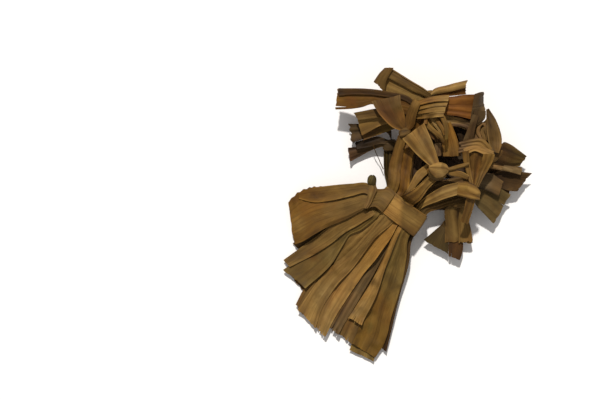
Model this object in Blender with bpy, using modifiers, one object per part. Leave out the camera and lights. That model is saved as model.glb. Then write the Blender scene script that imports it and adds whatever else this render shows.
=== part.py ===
"""A bundle of dried banana leaf, lying on a table.

Long strips of dried leaf are gathered side by side and pulled tight under a band of the same leaf.
Below the band (-Y) their flat ends spread as a skirt. Above it (+Y) other strips rise as stalks, and
each is tied in a knot that its cut ends fan out from. The band's own tail folds away to the left.

The bundle is made as it lies: piece by piece, from the table up. Each strip is a sheet of a given
route and width, and it is let down on the pieces below it, so that no two of them share any space.
Positions in the tables are millimetres: x across the bundle, y along it and z up from the table.
"""

import math

import bmesh
import bpy
import numpy as np

MM = 0.001

# Driving dimensions, in millimetres
LEAF = 1.1  # thickness of one flat strip, with the air between its plies
THICKEST = 2.3  # of a strip that is pleated together
CLEARANCE = 0.4  # between two pieces that lie on each other
BAND_WIDTH = 24.0
BAND_THICKNESS = 1.3
BAND_FACETS = 24  # around it
BAND_ROWS = 3  # across its width
NECK_HALF = 20.4  # half the width of the gathered strips under the band
NECK_FLAT = 10.0  # where they lie flat. Further out the band draws them up
SHOULDER = 4.0  # how far it draws up their outer edges
PRESSED = 0.45  # the share of their thickness that they lose at those edges
PRESSED_FROM = 6.0  # and where that starts
NECK_END = 9.0  # the strips of skirt and head both end this far past the band's middle
BAND_EDGE = 13.0  # strips keep their gathered width to here
# Where the gathered strips stand side by side, stack by stack, and how wide each stack is
LEFT, INNER_LEFT, INNER_RIGHT, RIGHT = -15.6, -5.2, 5.2, 15.6
STACK_WIDTH = 9.2
OPEN_WIDTH = 12.5  # an upper leaf of the skirt is this wide already
OPENS_IN = 8.0  # this far past the edge of the band
STALK_LEAF = 22.0  # the width of the leaf that a stalk is pleated from
EASING_TURNS = 30  # small lifts that bring a strip clear of what is under it
STEEPEST = 0.4  # the most that a dry strip slopes as it rides over another
STEEPEST_STALK = 0.62
ROUNDED_OVER = 0.45  # of its width, for an end that is rounded
BLUNT = 0.06  # of that stretch is left square, so that the end has a face
ROW_LENGTH = 9.0  # of the quads along a strip
SAMPLES = 18  # points along each side of a triangle that are tested against what is under it

# The field of heights that pieces are let down on
CELL = 0.5
FIELD_LOW = (-125.0, -150.0)
FIELD_SHAPE = (460, 600)

COLOURS = {
    "tan": (0.31, 0.20, 0.092),
    "golden": (0.33, 0.19, 0.06),
    "brown": (0.20, 0.115, 0.048),
    "dark": (0.095, 0.058, 0.026),
    "olive": (0.23, 0.165, 0.062),
}


class Strip:
    """A leaf strip as its middle surface: stations of (x, y, z, width) and how its end is cut.

    cut is the slant of the end in degrees, pleat the depth of its folds, flat the width of the leaf
    when it is spread out, and steep the most that it may slope.
    """

    def __init__(self, *stations, cut=0.0, pleat=0.6, flat=None, across=4, steep=STEEPEST, rounded=False):
        self.stations = np.array(stations, float)
        self.cut = cut
        self.pleat = pleat
        self.flat = flat or self.stations[:, 3].max()
        self.across = across
        self.steep = steep
        self.rounded = rounded


class Knot:
    """A pulled knot: its middle, its size along, across and up, and the way it points in degrees."""

    def __init__(self, x, y, z, length, width, height, heading=0.0):
        self.middle = np.array((x, y, z), float)
        self.size = np.array((length, width, height), float)
        self.heading = math.radians(heading)


def skirt(x, *stations, opens=False, **options):
    """A strip that starts inside the band, in the stack at x, and runs out into the skirt."""
    inside = [(x, NECK_END, 0, STACK_WIDTH), (x, -BAND_EDGE, 0, STACK_WIDTH)]
    if opens:
        # An upper leaf widens as soon as it is clear of the band, over the edges of its neighbours.
        next_x, next_y = stations[0][:2]
        share = OPENS_IN / (-BAND_EDGE - next_y)
        inside.append((x + share * (next_x - x), -BAND_EDGE - OPENS_IN, 0, OPEN_WIDTH))
    return Strip(*inside, *stations, **options)


def stalk(x, *stations, **options):
    """A strip that starts inside the band, in the stack at x, and rises towards the head."""
    inside = ((x, -NECK_END, 0, STACK_WIDTH), (x, BAND_EDGE, 0, STACK_WIDTH))
    options = {"flat": STALK_LEAF, "across": 3, "steep": STEEPEST_STALK, **options}
    return Strip(*inside, *stations, **options)


# Every leaf but the band, from the table up: name, colour, strips and knots.
LEAVES = (
    ("skirt_leaf_01", "dark", [skirt(LEFT, (-30, -36, 2, 18), (-48, -72, 1, 20), cut=-14)], []),
    ("skirt_leaf_02", "brown", [skirt(RIGHT, (31, -56, 2, 20), (44, -104, 1, 23), cut=4)], []),
    ("skirt_leaf_03", "brown", [skirt(INNER_RIGHT, (13, -62, 2, 19), (17, -111, 1, 23), cut=-6)], []),
    ("skirt_leaf_04", "dark", [skirt(INNER_LEFT, (-3, -58, 2, 19), (-9, -110, 1, 24), cut=3)], []),
    (
        "hanging_leaf_low",
        "dark",
        [
            stalk(RIGHT, (22, 23, 5, 8), (38, 33, 10, 8)),
            Strip((39, 32, 9, 7), (42, 15, 4, 16), (44, -6, 1, 22), cut=3),
            Strip((40, 31, 8, 7), (51, 13, 3, 11), (60, -3, 1, 13), cut=-11, across=3),
        ],
        [Knot(38, 33, 10, 12, 10, 8, 60)],
    ),
    (
        "left_leaf_low",
        "dark",
        [
            stalk(LEFT, (-28, 27, 5, 8), (-39, 43, 10, 8)),
            Strip((-39, 43, 10, 7), (-48, 36, 7, 10), (-62, 18, 5, 12), cut=-9, across=3),
            Strip((-37, 43, 11, 7), (-47, 51, 12, 14), cut=5, across=3),
        ],
        [Knot(-38, 43, 10, 12, 10, 8, 50)],
    ),
    (
        "right_leaf_low",
        "brown",
        [
            stalk(INNER_RIGHT, (12, 30, 5, 8), (28, 50, 7, 8), (44, 65, 11, 8)),
            Strip((45, 67, 12, 8), (58, 75, 12, 14), (71, 82, 10, 20), cut=-33),
            Strip((44, 66, 11, 8), (53, 66, 9, 14), (66, 63, 7, 15), cut=2),
        ],
        [Knot(44, 66, 11, 12, 10, 8, 40)],
    ),
    (
        "head_leaf_under",
        "dark",
        [
            stalk(LEFT, (-9, 30, 5, 8), (-3, 48, 9, 9)),
            Strip((-3, 49, 9, 8), (-11, 64, 9, 20), (-16, 80, 8, 25), cut=5),
            Strip((-2, 49, 10, 8), (7, 69, 12, 22), (11, 90, 12, 27), cut=-8),
            Strip((-1, 48, 9, 7), (11, 53, 8, 15), (27, 64, 6, 17), cut=10),
        ],
        [Knot(-3, 48, 9, 14, 12, 9, 70)],
    ),
    ("skirt_leaf_05", "olive", [skirt(RIGHT, (31, -63, 3, 21), (45, -115, 1, 23), cut=-8)], []),
    (
        "skirt_leaf_06",
        "brown",
        [skirt(RIGHT, (33, -34, 8, 10), (42, -56, 5, 11), (57, -103, 2, 10), cut=20, across=3)],
        [],
    ),
    ("skirt_leaf_07", "tan", [skirt(LEFT, (-21, -46, 5, 18), (-35, -86, 1, 22), cut=3)], []),
    (
        "hanging_leaf",
        "tan",
        [
            stalk(RIGHT, (23, 25, 8, 8), (36, 37, 16, 9)),
            Strip((37, 36, 16, 11), (45, 22, 11, 20), (56, 10, 6, 23), cut=3, pleat=1.2),
        ],
        [Knot(36, 37, 16, 13, 11, 9, 40)],
    ),
    (
        "right_leaf_middle",
        "olive",
        [
            stalk(RIGHT, (24, 27, 10, 8), (34, 40, 14, 8), (42, 49, 16, 7)),
            Strip((42, 49, 16, 7), (56, 53, 13, 17), (70, 54, 9, 26), cut=6),
        ],
        [Knot(42, 49, 16, 10, 8, 7, 40)],
    ),
    (
        "right_leaf_tall",
        "brown",
        [
            stalk(INNER_RIGHT, (10, 29, 10, 8), (22, 46, 13, 8), (36, 66, 15, 8), (38, 86, 19, 7)),
            Strip((37, 88, 22, 8), (27, 99, 24, 10), (11, 113, 20, 5), cut=13, across=3),
            Strip((34, 84, 18, 10), (21, 90, 18, 14), (12, 101, 14, 15), cut=5, pleat=1.4),
            Strip((39, 88, 17, 10), (49, 93, 13, 14), (60, 95, 9, 15), cut=-18),
            Strip((41, 80, 18, 4), (62, 88, 15, 5), cut=-9, across=3, pleat=0),
        ],
        [Knot(38, 86, 20, 14, 9, 9, 80)],
    ),
    ("skirt_leaf_08", "tan", [skirt(INNER_RIGHT, (14, -62, 6, 15), (24, -115, 2, 16), cut=-20)], []),
    ("skirt_leaf_09", "dark", [skirt(INNER_RIGHT, (8, -62, 7, 13), (13, -115, 3, 10), cut=40)], []),
    (
        "left_leaf_middle",
        "tan",
        [
            stalk(INNER_LEFT, (-16, 34, 8, 8), (-29, 56, 13, 9), (-38, 69, 18, 9)),
            Strip((-38, 69, 18, 8), (-55, 46, 12, 11), (-74, 34, 9, 12), cut=1, across=3),
            Strip((-38, 70, 20, 10), (-56, 57, 19, 17), (-71, 41, 16, 20), cut=4),
            Strip((-37, 71, 20, 7), (-19, 82, 22, 7), (5, 95, 21, 7), cut=-8, across=3),
        ],
        [Knot(-38, 70, 19, 14, 12, 9, 50)],
    ),
    (
        "top_leaf",
        "tan",
        [
            stalk(INNER_LEFT, (-16, 36, 14, 8), (-30, 66, 20, 8), (-35, 93, 26, 8)),
            Strip((-36, 94, 27, 7), (-54, 89, 27, 14), (-80, 84, 24, 15), cut=-12, pleat=1.2),
            Strip((-34, 95, 27, 7), (-25, 106, 26, 11), (-14, 118, 22, 13), cut=-16, pleat=1.0),
        ],
        [Knot(-35, 94, 26, 10, 10, 8, 45)],
    ),
    (
        "crossing_leaf",
        "golden",
        [
            stalk(INNER_LEFT, (-13, 31, 18, 8), (-21, 50, 24, 8), (-29, 82, 30, 9)),
            Strip(
                (-30, 83, 31, 8), (-37, 78, 31, 10), (-50, 75, 28, 12), (-71, 67, 24, 14), (-97, 49, 20, 15),
                cut=-12,
            ),
            Strip((-26, 89, 32, 9), (-20, 94, 32, 11), (-11, 100, 31, 17), (-1, 107, 29, 22), cut=-7),
            Strip((-4, 104, 29, 22), (3, 109, 23, 21), (8, 112, 15, 19), cut=-10, pleat=0.3),
            Strip(
                (-28, 84, 32, 8), (-24, 81, 32, 10), (-14, 75, 32, 15), (-2, 70, 30, 16), (8, 64, 27, 18),
                cut=-33,
                pleat=1.8,
            ),
        ],
        [Knot(-28, 86, 32, 27, 14, 10, 46)],
    ),
    (
        "right_leaf_top",
        "golden",
        [
            stalk(INNER_RIGHT, (17, 28, 20, 8), (27, 40, 28, 9), (35, 47, 32, 9)),
            Strip((36, 49, 33, 7), (28, 62, 35, 12), (19, 77, 35, 17), cut=11, pleat=1.6),
            Strip((37, 49, 32, 6), (37, 67, 33, 10), (30, 81, 33, 12), cut=-15, across=3, pleat=1.2),
            Strip((37, 46, 30, 7), (43, 34, 25, 8), (47, 24, 22, 6), cut=-10, across=3),
        ],
        [Knot(35, 48, 32, 19, 12, 10, 25)],
    ),
    (
        "skirt_leaf_10",
        "olive",
        [skirt(RIGHT, (22, -33, 12, 14), (31, -58, 8, 22), (45, -112, 3, 24), cut=-7)],
        [],
    ),
    (
        "left_leaf_top",
        "brown",
        [
            stalk(LEFT, (-22, 24, 17, 8), (-28, 36, 24, 8), (-35, 56, 31, 7)),
            Strip((-35, 58, 32, 6), (-46, 61, 33, 14), (-62, 71, 32, 23), cut=-10),
            Strip((-34, 59, 32, 5), (-38, 67, 33, 7), (-45, 77, 34, 11), cut=31, across=3),
        ],
        [Knot(-35, 57, 32, 10, 8, 7, 60)],
    ),
    (
        "front_leaf",
        "tan",
        [
            stalk(INNER_LEFT, (-2, 27, 23, 10), (4, 45, 34, 11)),
            Strip((3, 47, 35, 8), (-13, 56, 38, 15), (-31, 63, 38, 22), cut=3, pleat=1.2),
            Strip((6, 47, 33, 4), (21, 61, 30, 5), cut=2, across=3, pleat=0),
            Strip((6, 47, 32, 4), (21, 52, 28, 6), (27, 56, 28, 6), across=3, pleat=0),
        ],
        [Knot(4, 46, 34, 19, 13, 11, 26)],
    ),
    (
        "skirt_leaf_11",
        "tan",
        [skirt(INNER_RIGHT, (10, -28, 16, 7), (15, -50, 12, 10), (24, -96, 7, 13), cut=2, across=3, pleat=1)],
        [],
    ),
    ("skirt_leaf_12", "golden", [skirt(INNER_LEFT, (-1, -60, 9, 14), (4, -120, 3, 12), cut=18)], []),
    (
        "skirt_leaf_13",
        "tan",
        [skirt(INNER_LEFT, (-12, -52, 10, 19), (-13, -116, 3, 21), cut=-8, opens=True)],
        [],
    ),
    (
        "skirt_leaf_14",
        "olive",
        [skirt(LEFT, (-21, -42, 11, 15), (-37, -93, 4, 27), cut=11, opens=True)],
        [],
    ),
    ("skirt_leaf_15", "tan", [skirt(LEFT, (-27, -33, 12, 16), (-51, -89, 4, 14), cut=7)], []),
)

# The band's tail: out over its left shoulder, creased across, and away to the left.
TAIL = Strip(
    (-17, 3, 25, 20),
    (-23, 1, 23, 20),
    (-32, -7, 18, 22),
    (-48, -26, 10, 33),
    (-62, -44, 5, 40),
    (-73, -58, 3, 32),
    cut=-10,
    pleat=1.0,
    across=5,
    rounded=True,
)
CREASE = Strip((-23, -13, 22, 6), (-29, -2, 22, 7), (-35, 9, 22, 7), flat=14, across=3, pleat=0)
# The band's outer turn: a second layer that slants over the top of the first.
WRAP = Strip((-14, 5, 20, 8), (-8, 3, 22, 15), (6, -1, 24, 19), (22, -5, 20, 20), pleat=0.8, cut=4)


def smooth(marks, values, at):
    """Values between the marks, on a curve that bends smoothly and never swings past a value."""
    step = np.diff(marks)
    rise = np.diff(values, axis=0) / step[:, None]
    slope = np.zeros_like(values)
    slope[0], slope[-1] = rise[0], rise[-1]
    before, after = rise[:-1], rise[1:]
    same = before * after > 0
    slope[1:-1][same] = 2 * (before * after)[same] / (before + after)[same]
    span = np.clip(np.searchsorted(marks, at, side="right") - 1, 0, len(step) - 1)
    t = ((at - marks[span]) / step[span])[:, None]
    width = step[span][:, None]
    return (
        values[span] * (1 + 2 * t) * (1 - t) ** 2
        + slope[span] * width * t * (1 - t) ** 2
        + values[span + 1] * t**2 * (3 - 2 * t)
        + slope[span + 1] * width * t**2 * (t - 1)
    )


def sheet_of(strip):
    """The strip's middle surface and its thickness, as a grid of rows and points across."""
    route = strip.stations
    along = np.concatenate([[0], np.cumsum(np.linalg.norm(np.diff(route[:, :2], axis=0), axis=1))])
    at = np.linspace(0, along[-1], max(3, round(along[-1] / ROW_LENGTH) + 1))
    x, y, z, width = smooth(along, route, at).T
    heading = np.arctan2(np.gradient(y), np.gradient(x))
    side = np.linspace(-1, 1, strip.across)
    if strip.rounded:
        left = (along[-1] - at) / (ROUNDED_OVER * width.max())
        width = width * np.sqrt(1 - (1 - np.clip(left, BLUNT, 1)) ** 2)
    reach = np.outer(width / 2, side)
    # The slant of the cut end grows over the strip's last third.
    near_end = np.clip(at / along[-1] * 3 - 2, 0, 1)[:, None]
    slant = reach * math.tan(math.radians(strip.cut)) * near_end
    px = x[:, None] - reach * np.sin(heading)[:, None] + slant * np.cos(heading)[:, None]
    py = y[:, None] + reach * np.cos(heading)[:, None] + slant * np.sin(heading)[:, None]
    spread = np.clip(np.hypot(px, py) / BAND_EDGE - 2, 0, 1)
    pz = z[:, None] + spread * strip.pleat / 2 * (-1.0) ** np.arange(strip.across)
    thickness = np.clip(LEAF * strip.flat / np.maximum(width, 1), LEAF, THICKEST)[:, None]
    outer = np.clip((np.abs(px) - PRESSED_FROM) / (NECK_HALF - PRESSED_FROM), 0, 1)
    gathered = np.clip((2 * BAND_EDGE - np.abs(py)) / BAND_EDGE, 0, 1)
    return np.dstack([px, py, pz]), np.maximum(thickness * (1 - PRESSED * outer * gathered), LEAF)


def triangles_of(rows, across):
    """The triangles of a grid, split the same way everywhere."""
    corner = np.arange(rows * across).reshape(rows, across)
    a, b, c, d = corner[:-1, :-1], corner[1:, :-1], corner[1:, 1:], corner[:-1, 1:]
    halves = [np.stack(half, axis=-1).reshape(-1, 3) for half in ((a, b, c), (a, c, d))]
    return np.concatenate(halves)


def samples_in(triangles):
    """Points spread over the triangles, as (corners, shares)."""
    steps = range(SAMPLES + 1)
    shares = [(i, j, SAMPLES - i - j) for i in steps for j in steps if i + j <= SAMPLES]
    shares = np.array(shares) / SAMPLES
    corners = np.repeat(triangles, len(shares), axis=0)
    return corners, np.tile(shares, (len(triangles), 1))


def field_axes():
    """The middles of the field's cells, along x and along y."""
    return [low + (np.arange(count) + 0.5) * CELL for low, count in zip(FIELD_LOW, FIELD_SHAPE)]


def empty_field():
    """Bare table. Under the band it is the band's own lower side, which is drawn up at its ends."""
    field = np.full(FIELD_SHAPE, -CLEARANCE)
    x, y = field_axes()
    across, along = np.abs(x) < NECK_HALF + 2, np.abs(y) < BAND_EDGE
    lift = SHOULDER * np.clip((np.abs(x) - NECK_FLAT) / (NECK_HALF - NECK_FLAT), 0, 1)
    field[np.ix_(across, along)] = (BAND_THICKNESS + lift)[across][:, None]
    return field


def cells_of(points):
    i = ((points[:, 0] - FIELD_LOW[0]) / CELL).astype(int)
    j = ((points[:, 1] - FIELD_LOW[1]) / CELL).astype(int)
    return i, j


def widened(field):
    """Each cell as high as the highest of its neighbours."""
    padded = np.pad(field, 1, mode="edge")
    n, m = field.shape
    return np.max([padded[i : i + n, j : j + m] for i in range(3) for j in range(3)], axis=0)


def eased(points, rows, across, steepest):
    """Raises points beside a raised one, so that the sheet slopes no more than a dry leaf would."""
    grid = points.reshape(rows, across, 3)
    for axis, count in ((0, rows), (1, across)):
        turned = np.moveaxis(grid, axis, 0)
        for order in (range(1, count), range(count - 2, -1, -1)):
            for here in order:
                last = here - 1 if order.step == 1 else here + 1
                gap = np.linalg.norm(turned[here][:, :2] - turned[last][:, :2], axis=1)
                floor = turned[last][:, 2] - steepest * gap
                turned[here][:, 2] = np.maximum(turned[here][:, 2], floor)


def let_down(sheet, thickness, field, steepest):
    """Lifts a sheet's points until its underside clears the field everywhere."""
    rows, across = thickness.shape
    points = sheet.reshape(-1, 3)
    half = thickness.reshape(-1) / 2
    corners, shares = samples_in(triangles_of(rows, across))
    at = np.einsum("sk,skc->sc", shares, points[corners][:, :, :2])
    under = widened(field)
    wanted = under[cells_of(at)] + CLEARANCE + (shares * half[corners]).sum(1)
    points[:, 2] = np.maximum(points[:, 2], under[cells_of(points)] + CLEARANCE + half)
    for turn in range(EASING_TURNS):
        lacking = wanted - (shares * points[corners][:, :, 2]).sum(1)
        short = lacking > 1e-3
        if not short.any():
            break
        # Small steps at first, each shared by the corners that it reaches most. The last is a full one.
        share = np.ones_like(shares[short]) if turn == EASING_TURNS - 1 else shares[short] / 2
        lift = np.zeros(len(points))
        np.maximum.at(lift, corners[short].ravel(), (lacking[short, None] * share).ravel())
        points[:, 2] += lift
    eased(points, rows, across, steepest)
    return points.reshape(rows, across, 3)


def raise_field(field, sheet, thickness):
    """Adds a sheet's upper side to the field."""
    points = sheet.reshape(-1, 3)
    top = points[:, 2] + thickness.reshape(-1) / 2
    corners, shares = samples_in(triangles_of(*thickness.shape))
    at = np.einsum("sk,skc->sc", shares, points[corners][:, :, :2])
    np.maximum.at(field, cells_of(at), (shares * top[corners]).sum(1))


def knot_cover(knot):
    """The cells under a knot, and how high its upper side is over its middle in each of them."""
    x, y = field_axes()
    gx, gy = np.meshgrid(x - knot.middle[0], y - knot.middle[1], indexing="ij")
    c, s = math.cos(knot.heading), math.sin(knot.heading)
    length, width, height = knot.size / 2
    inside = 1 - ((gx * c + gy * s) / length) ** 2 - ((gy * c - gx * s) / width) ** 2
    cover = inside > 0
    return cover, height * np.sqrt(inside[cover])


def settle_knot(knot, field):
    cover, rise = knot_cover(knot)
    under = widened(field)[cover]
    knot.middle[2] = max(knot.middle[2], (under + CLEARANCE + rise).max())


def meets(station, knot):
    return math.dist(station[:2], knot.middle[:2]) < knot.size[:2].max() / 2


def lay(strips, knots, field):
    """Lays one leaf on the field: its knots first, then its strips, which meet them at their height."""
    for knot in knots:
        settle_knot(knot, field)
    sheets = []
    for strip in strips:
        for station in strip.stations:
            for knot in knots:
                if meets(station, knot):
                    station[2] = knot.middle[2]
        sheet, thickness = sheet_of(strip)
        sheets.append((let_down(sheet, thickness, field, strip.steep), thickness))
    for sheet, thickness in sheets:
        raise_field(field, sheet, thickness)
    for knot in knots:
        cover, rise = knot_cover(knot)
        field[cover] = np.maximum(field[cover], knot.middle[2] + rise)
    return sheets


def corners_in_band(sheet, thickness):
    """Points on both sides of the sheet, as (x, z), wherever it runs through the band."""
    points = sheet.reshape(-1, 3)
    half = thickness.reshape(-1) / 2
    corners, shares = samples_in(triangles_of(*thickness.shape))
    at = np.einsum("sk,skc->sc", shares, points[corners])
    half = (shares * half[corners]).sum(1)
    inside = np.abs(at[:, 1]) < BAND_WIDTH / 2 + 1
    x, z, half = at[inside, 0], at[inside, 2], half[inside]
    return np.concatenate([np.stack([x, z + half], axis=1), np.stack([x, z - half], axis=1)])


def outline_round(points, gap):
    """A many-sided outline that stays this far outside all of the points, as (x, z)."""
    turn = np.radians(np.arange(BAND_FACETS) * 360 / BAND_FACETS - 90)
    normals = np.stack([np.cos(turn), np.sin(turn)], axis=1)
    reach = (points @ normals.T).max(0) + gap
    corners = []
    for k in range(BAND_FACETS):
        pair = [k, (k + 1) % BAND_FACETS]
        corners.append(np.linalg.solve(normals[pair], reach[pair]))
    return np.array(corners)


def raise_over_band(field, outline):
    """Brings the field up to the band's upper side."""
    x, y = field_axes()
    upper = outline[outline[:, 1] > outline[:, 1].mean()]
    upper = upper[np.argsort(upper[:, 0])]
    across = (x > upper[0, 0]) & (x < upper[-1, 0])
    height = np.interp(x[across], upper[:, 0], upper[:, 1])
    place = np.ix_(across, np.abs(y) < BAND_WIDTH / 2)
    field[place] = np.maximum(field[place], height[:, None] - CLEARANCE)


def new_collection(name):
    collection = bpy.data.collections.new(name)
    bpy.context.scene.collection.children.link(collection)
    return collection


def new_object(name, bm, collection, material):
    bmesh.ops.recalc_face_normals(bm, faces=bm.faces[:])
    mesh = bpy.data.meshes.new(name)
    bm.to_mesh(mesh)
    bm.free()
    mesh.materials.append(material)
    obj = bpy.data.objects.new(name, mesh)
    collection.objects.link(obj)
    return obj


def slab(name, sheet, thickness, collection, material):
    """A flat grid, made a closed slab, whose two sides are then shaped to the sheet."""
    rows, across = thickness.shape
    bm = bmesh.new()
    bmesh.ops.create_grid(bm, x_segments=across - 1, y_segments=rows - 1, size=1)
    bmesh.ops.triangulate(bm, faces=bm.faces[:], quad_method="FIXED")
    bmesh.ops.solidify(bm, geom=bm.verts[:] + bm.edges[:] + bm.faces[:], thickness=0.1)
    half = np.zeros((rows, across, 3))
    half[:, :, 2] = thickness / 2
    both = np.concatenate([(sheet + half).reshape(-1, 3), (sheet - half).reshape(-1, 3)])
    for vert, place in zip(bm.verts, both):
        vert.co = place * MM
    return new_object(name, bm, collection, material)


def groove(x, y):
    """How far in the surface of a knot lies, of its full size: it has a slanting groove at each end."""
    return 0.88 + 0.12 * math.cos(3.2 * x + 1.3 * y)


def lump(name, knot, collection, material):
    """A squashed ball, grooved where the leaf is wound round itself."""
    bm = bmesh.new()
    bmesh.ops.create_uvsphere(bm, u_segments=8, v_segments=5, radius=1)
    c, s = math.cos(knot.heading), math.sin(knot.heading)
    for vert in bm.verts:
        x, y, z = vert.co
        a, b, z = np.array((x, y, z)) * groove(x, y) * knot.size / 2
        vert.co = (np.array((a * c - b * s, a * s + b * c, z)) + knot.middle) * MM
    return new_object(name, bm, collection, material)


def joined(base, operands):
    """Makes the operands one body with the base. They stay in the scene as hidden helpers."""
    for operand in operands:
        operand.hide_render = True
        operand.display_type = "WIRE"
        union = base.modifiers.new(operand.name, "BOOLEAN")
        union.operation = "UNION"
        union.solver = "EXACT"
        union.object = operand


def ring(name, outline, collection, material):
    """The band's inner turn: the outline drawn out along the bundle, with its wall inside it."""
    bm = bmesh.new()
    low = [bm.verts.new((x * MM, -BAND_WIDTH / 2 * MM, z * MM)) for x, z in outline]
    edges = [bm.edges.new((low[k - 1], low[k])) for k in range(len(low))]
    for _ in range(BAND_ROWS):
        made = bmesh.ops.extrude_edge_only(bm, edges=edges)["geom"]
        edges = [part for part in made if isinstance(part, bmesh.types.BMEdge)]
        verts = [part for part in made if isinstance(part, bmesh.types.BMVert)]
        bmesh.ops.translate(bm, verts=verts, vec=(0, BAND_WIDTH / BAND_ROWS * MM, 0))
    obj = new_object(name, bm, collection, material)
    wall = obj.modifiers.new("wall", "SOLIDIFY")
    wall.thickness = BAND_THICKNESS * MM
    wall.offset = -1
    wall.use_even_offset = True
    return obj


def plain_material(name, colour):
    material = bpy.data.materials.new(name)
    material.use_nodes = True
    shader = material.node_tree.nodes["Principled BSDF"]
    shader.inputs["Base Color"].default_value = (*colour, 1)
    shader.inputs["Roughness"].default_value = 0.75
    return material


def main():
    for obj in list(bpy.data.objects):
        bpy.data.objects.remove(obj, do_unlink=True)
    bundle = new_collection("banana_leaf_bundle")
    helpers = new_collection("helpers")
    helpers.hide_render = True
    materials = {name: plain_material(name, colour) for name, colour in COLOURS.items()}

    field = empty_field()
    gathered = []
    for name, colour, strips, knots in LEAVES:
        sheets = lay(strips, knots, field)
        gathered.append(corners_in_band(*sheets[0]))
        base = slab(name, *sheets[0], bundle, materials[colour])
        operands = [slab(f"{name}_end", *sheet, helpers, materials[colour]) for sheet in sheets[1:]]
        operands += [lump(f"{name}_knot", knot, helpers, materials[colour]) for knot in knots]
        joined(base, operands)

    gathered = np.concatenate(gathered)
    band = ring("neck_band", outline_round(gathered, CLEARANCE + BAND_THICKNESS), bundle, materials["tan"])
    raise_over_band(field, outline_round(gathered, CLEARANCE + BAND_THICKNESS / 3))
    sheets = lay([TAIL, CREASE, WRAP], [], field)
    joined(band, [slab("neck_band_end", *sheet, helpers, materials["tan"]) for sheet in sheets])


main()
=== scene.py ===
"""The looks of a bundle of dried banana leaf that lies on a pale table, seen from straight above.

Every flap of leaf is drawn by its two edges, in millimetres: x across the bundle, y along it towards
its knotted head and z up from the table. One by one, from the table up, the flaps are let down on what
lies under them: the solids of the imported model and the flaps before. Each then gets its detail: pleats,
creases, hems, torn and curled ends, veins and stains.
"""

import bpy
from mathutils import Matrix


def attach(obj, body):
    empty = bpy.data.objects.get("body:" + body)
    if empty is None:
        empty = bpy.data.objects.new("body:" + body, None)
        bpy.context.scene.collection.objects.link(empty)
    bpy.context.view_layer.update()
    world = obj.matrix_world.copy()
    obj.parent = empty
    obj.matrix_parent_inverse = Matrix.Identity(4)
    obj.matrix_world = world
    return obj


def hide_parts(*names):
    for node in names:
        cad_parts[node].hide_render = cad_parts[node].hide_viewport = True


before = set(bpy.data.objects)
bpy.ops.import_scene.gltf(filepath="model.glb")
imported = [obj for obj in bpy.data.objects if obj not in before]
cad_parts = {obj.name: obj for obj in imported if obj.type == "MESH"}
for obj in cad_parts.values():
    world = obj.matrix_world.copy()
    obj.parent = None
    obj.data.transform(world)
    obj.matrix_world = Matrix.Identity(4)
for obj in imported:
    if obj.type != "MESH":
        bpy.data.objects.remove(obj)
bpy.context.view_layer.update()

import math

import bpy
import numpy as np
from mathutils import Vector

MM = 0.001

# The neck, as the solids have it, in millimetres
BAND_WIDTH = 24.0
BAND_WALL = 1.3
BAND_FACETS = 24
CLEARANCE = 0.4
HELD_UNDER = 0.7  # how far the strips stay under the band's inner side
BAND_EDGE = 13.0
NECK_HALF = 20.4
LEFT, INNER_LEFT, INNER_RIGHT, RIGHT = -15.6, -5.2, 5.2, 15.6  # the stacks of strips inside the band
STACK_WIDTH = 9.2
STALK_LEAF = 22.0  # width of a stalk's leaf before it was gathered
ROOT_EASING = 3.0  # how far outside the band's edges the strips are still pressed down

# How a flap is let down
STEEPEST = 0.4  # rise per millimetre
STEEPEST_STALK = 0.62
ROW_LENGTH = 5.0  # between the points of the coarse grid that is let down
COLUMN_WIDTH = 4.0
APART = 0.12  # between two flaps that lie on each other
SINK = 1.1  # a flap lies this far into the solids under it, which are thicker than leaf is
SKIRT_SINK = 3.0  # and this far where the solids are piled up flat
TOUCHING = 1e-3  # what still lies in the field by less than this counts as clear of it
SAMPLES = 10  # along a side of a grid's triangles
SOLID_SAMPLES = 18  # and of a solid's
EASING_TURNS = 30
CELL = 0.5  # of the field of heights
FIELD_LOW = (-125.0, -150.0)
FIELD_SHAPE = (460, 600)

# The detail
SHEET = 0.32  # thickness of one ply of leaf
FINE_ALONG = 1.1  # between two rows of points along a flap
FINE_ACROSS = 0.7  # and across it
LOWEST = 0.25  # a flap's middle surface stays this high over the table
HIGHEST = 40.6  # and under this
END_RAMP = 12.0  # an end curls and tears over this length
SHARP_ANGLE = 26.0  # in degrees: folds sharper than this show as a line
SPARE_WIDTH = 1.1  # how much wider than its flap a leaf is that has no width of its own
UNDERLAP, OVERLAP = 0.06, 0.10  # of two flaps of a sleeve, as shares of its width
LEAF_SEED, BAND_SEED = 100, 11  # random numbers start from these

# How uneven it is: sizes in millimetres or as shares, and the period in which each turns
HEM_UNEVEN, HEM_PERIOD = 0.3, 18
SIDE_UNEVEN, SIDE_PERIOD = 0.015, 12
BROAD_TEAR, FINE_TEAR, TOOTH = 0.9, 0.5, 1.6
FOLD_DRIFT, FOLD_PERIOD = 0.08, 25
HEM_PLEATS = 0.4  # how much of the pleats' depth shows on a hem
HEM_RISE, HEM_LOOSE = 0.6, 0.3
HEM_ROWS = (0.12, 0.4)  # steps over a fold where two more lines of points make it round
CURL_MEAN, CURL_UNEVEN = 0.75, 0.5
PUCKER_START, PUCKER_RATE = 0.45, 5  # from this share of the length on, and how soon
PUCKER_REACH, PUCKER_RISE = 0.022, 0.55
WRINKLE_RATE, WRINKLE_DRIFT, WRINKLE_PERIOD = 1.15, 2.2, 9
SLIT_OPENS, SLIT_LIFTS, SLIT_FADES = 0.05, 0.16, 3
SLIT_ROWS = 0.03  # steps from a slit to each of its rims
EDGE_POWER = 5  # how closely a lift keeps to its edge
LOOSE_RATE, LOOSE_LAG = 1.6, 0.4  # how fast a flap gets loose towards its end, and how late it starts
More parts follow.
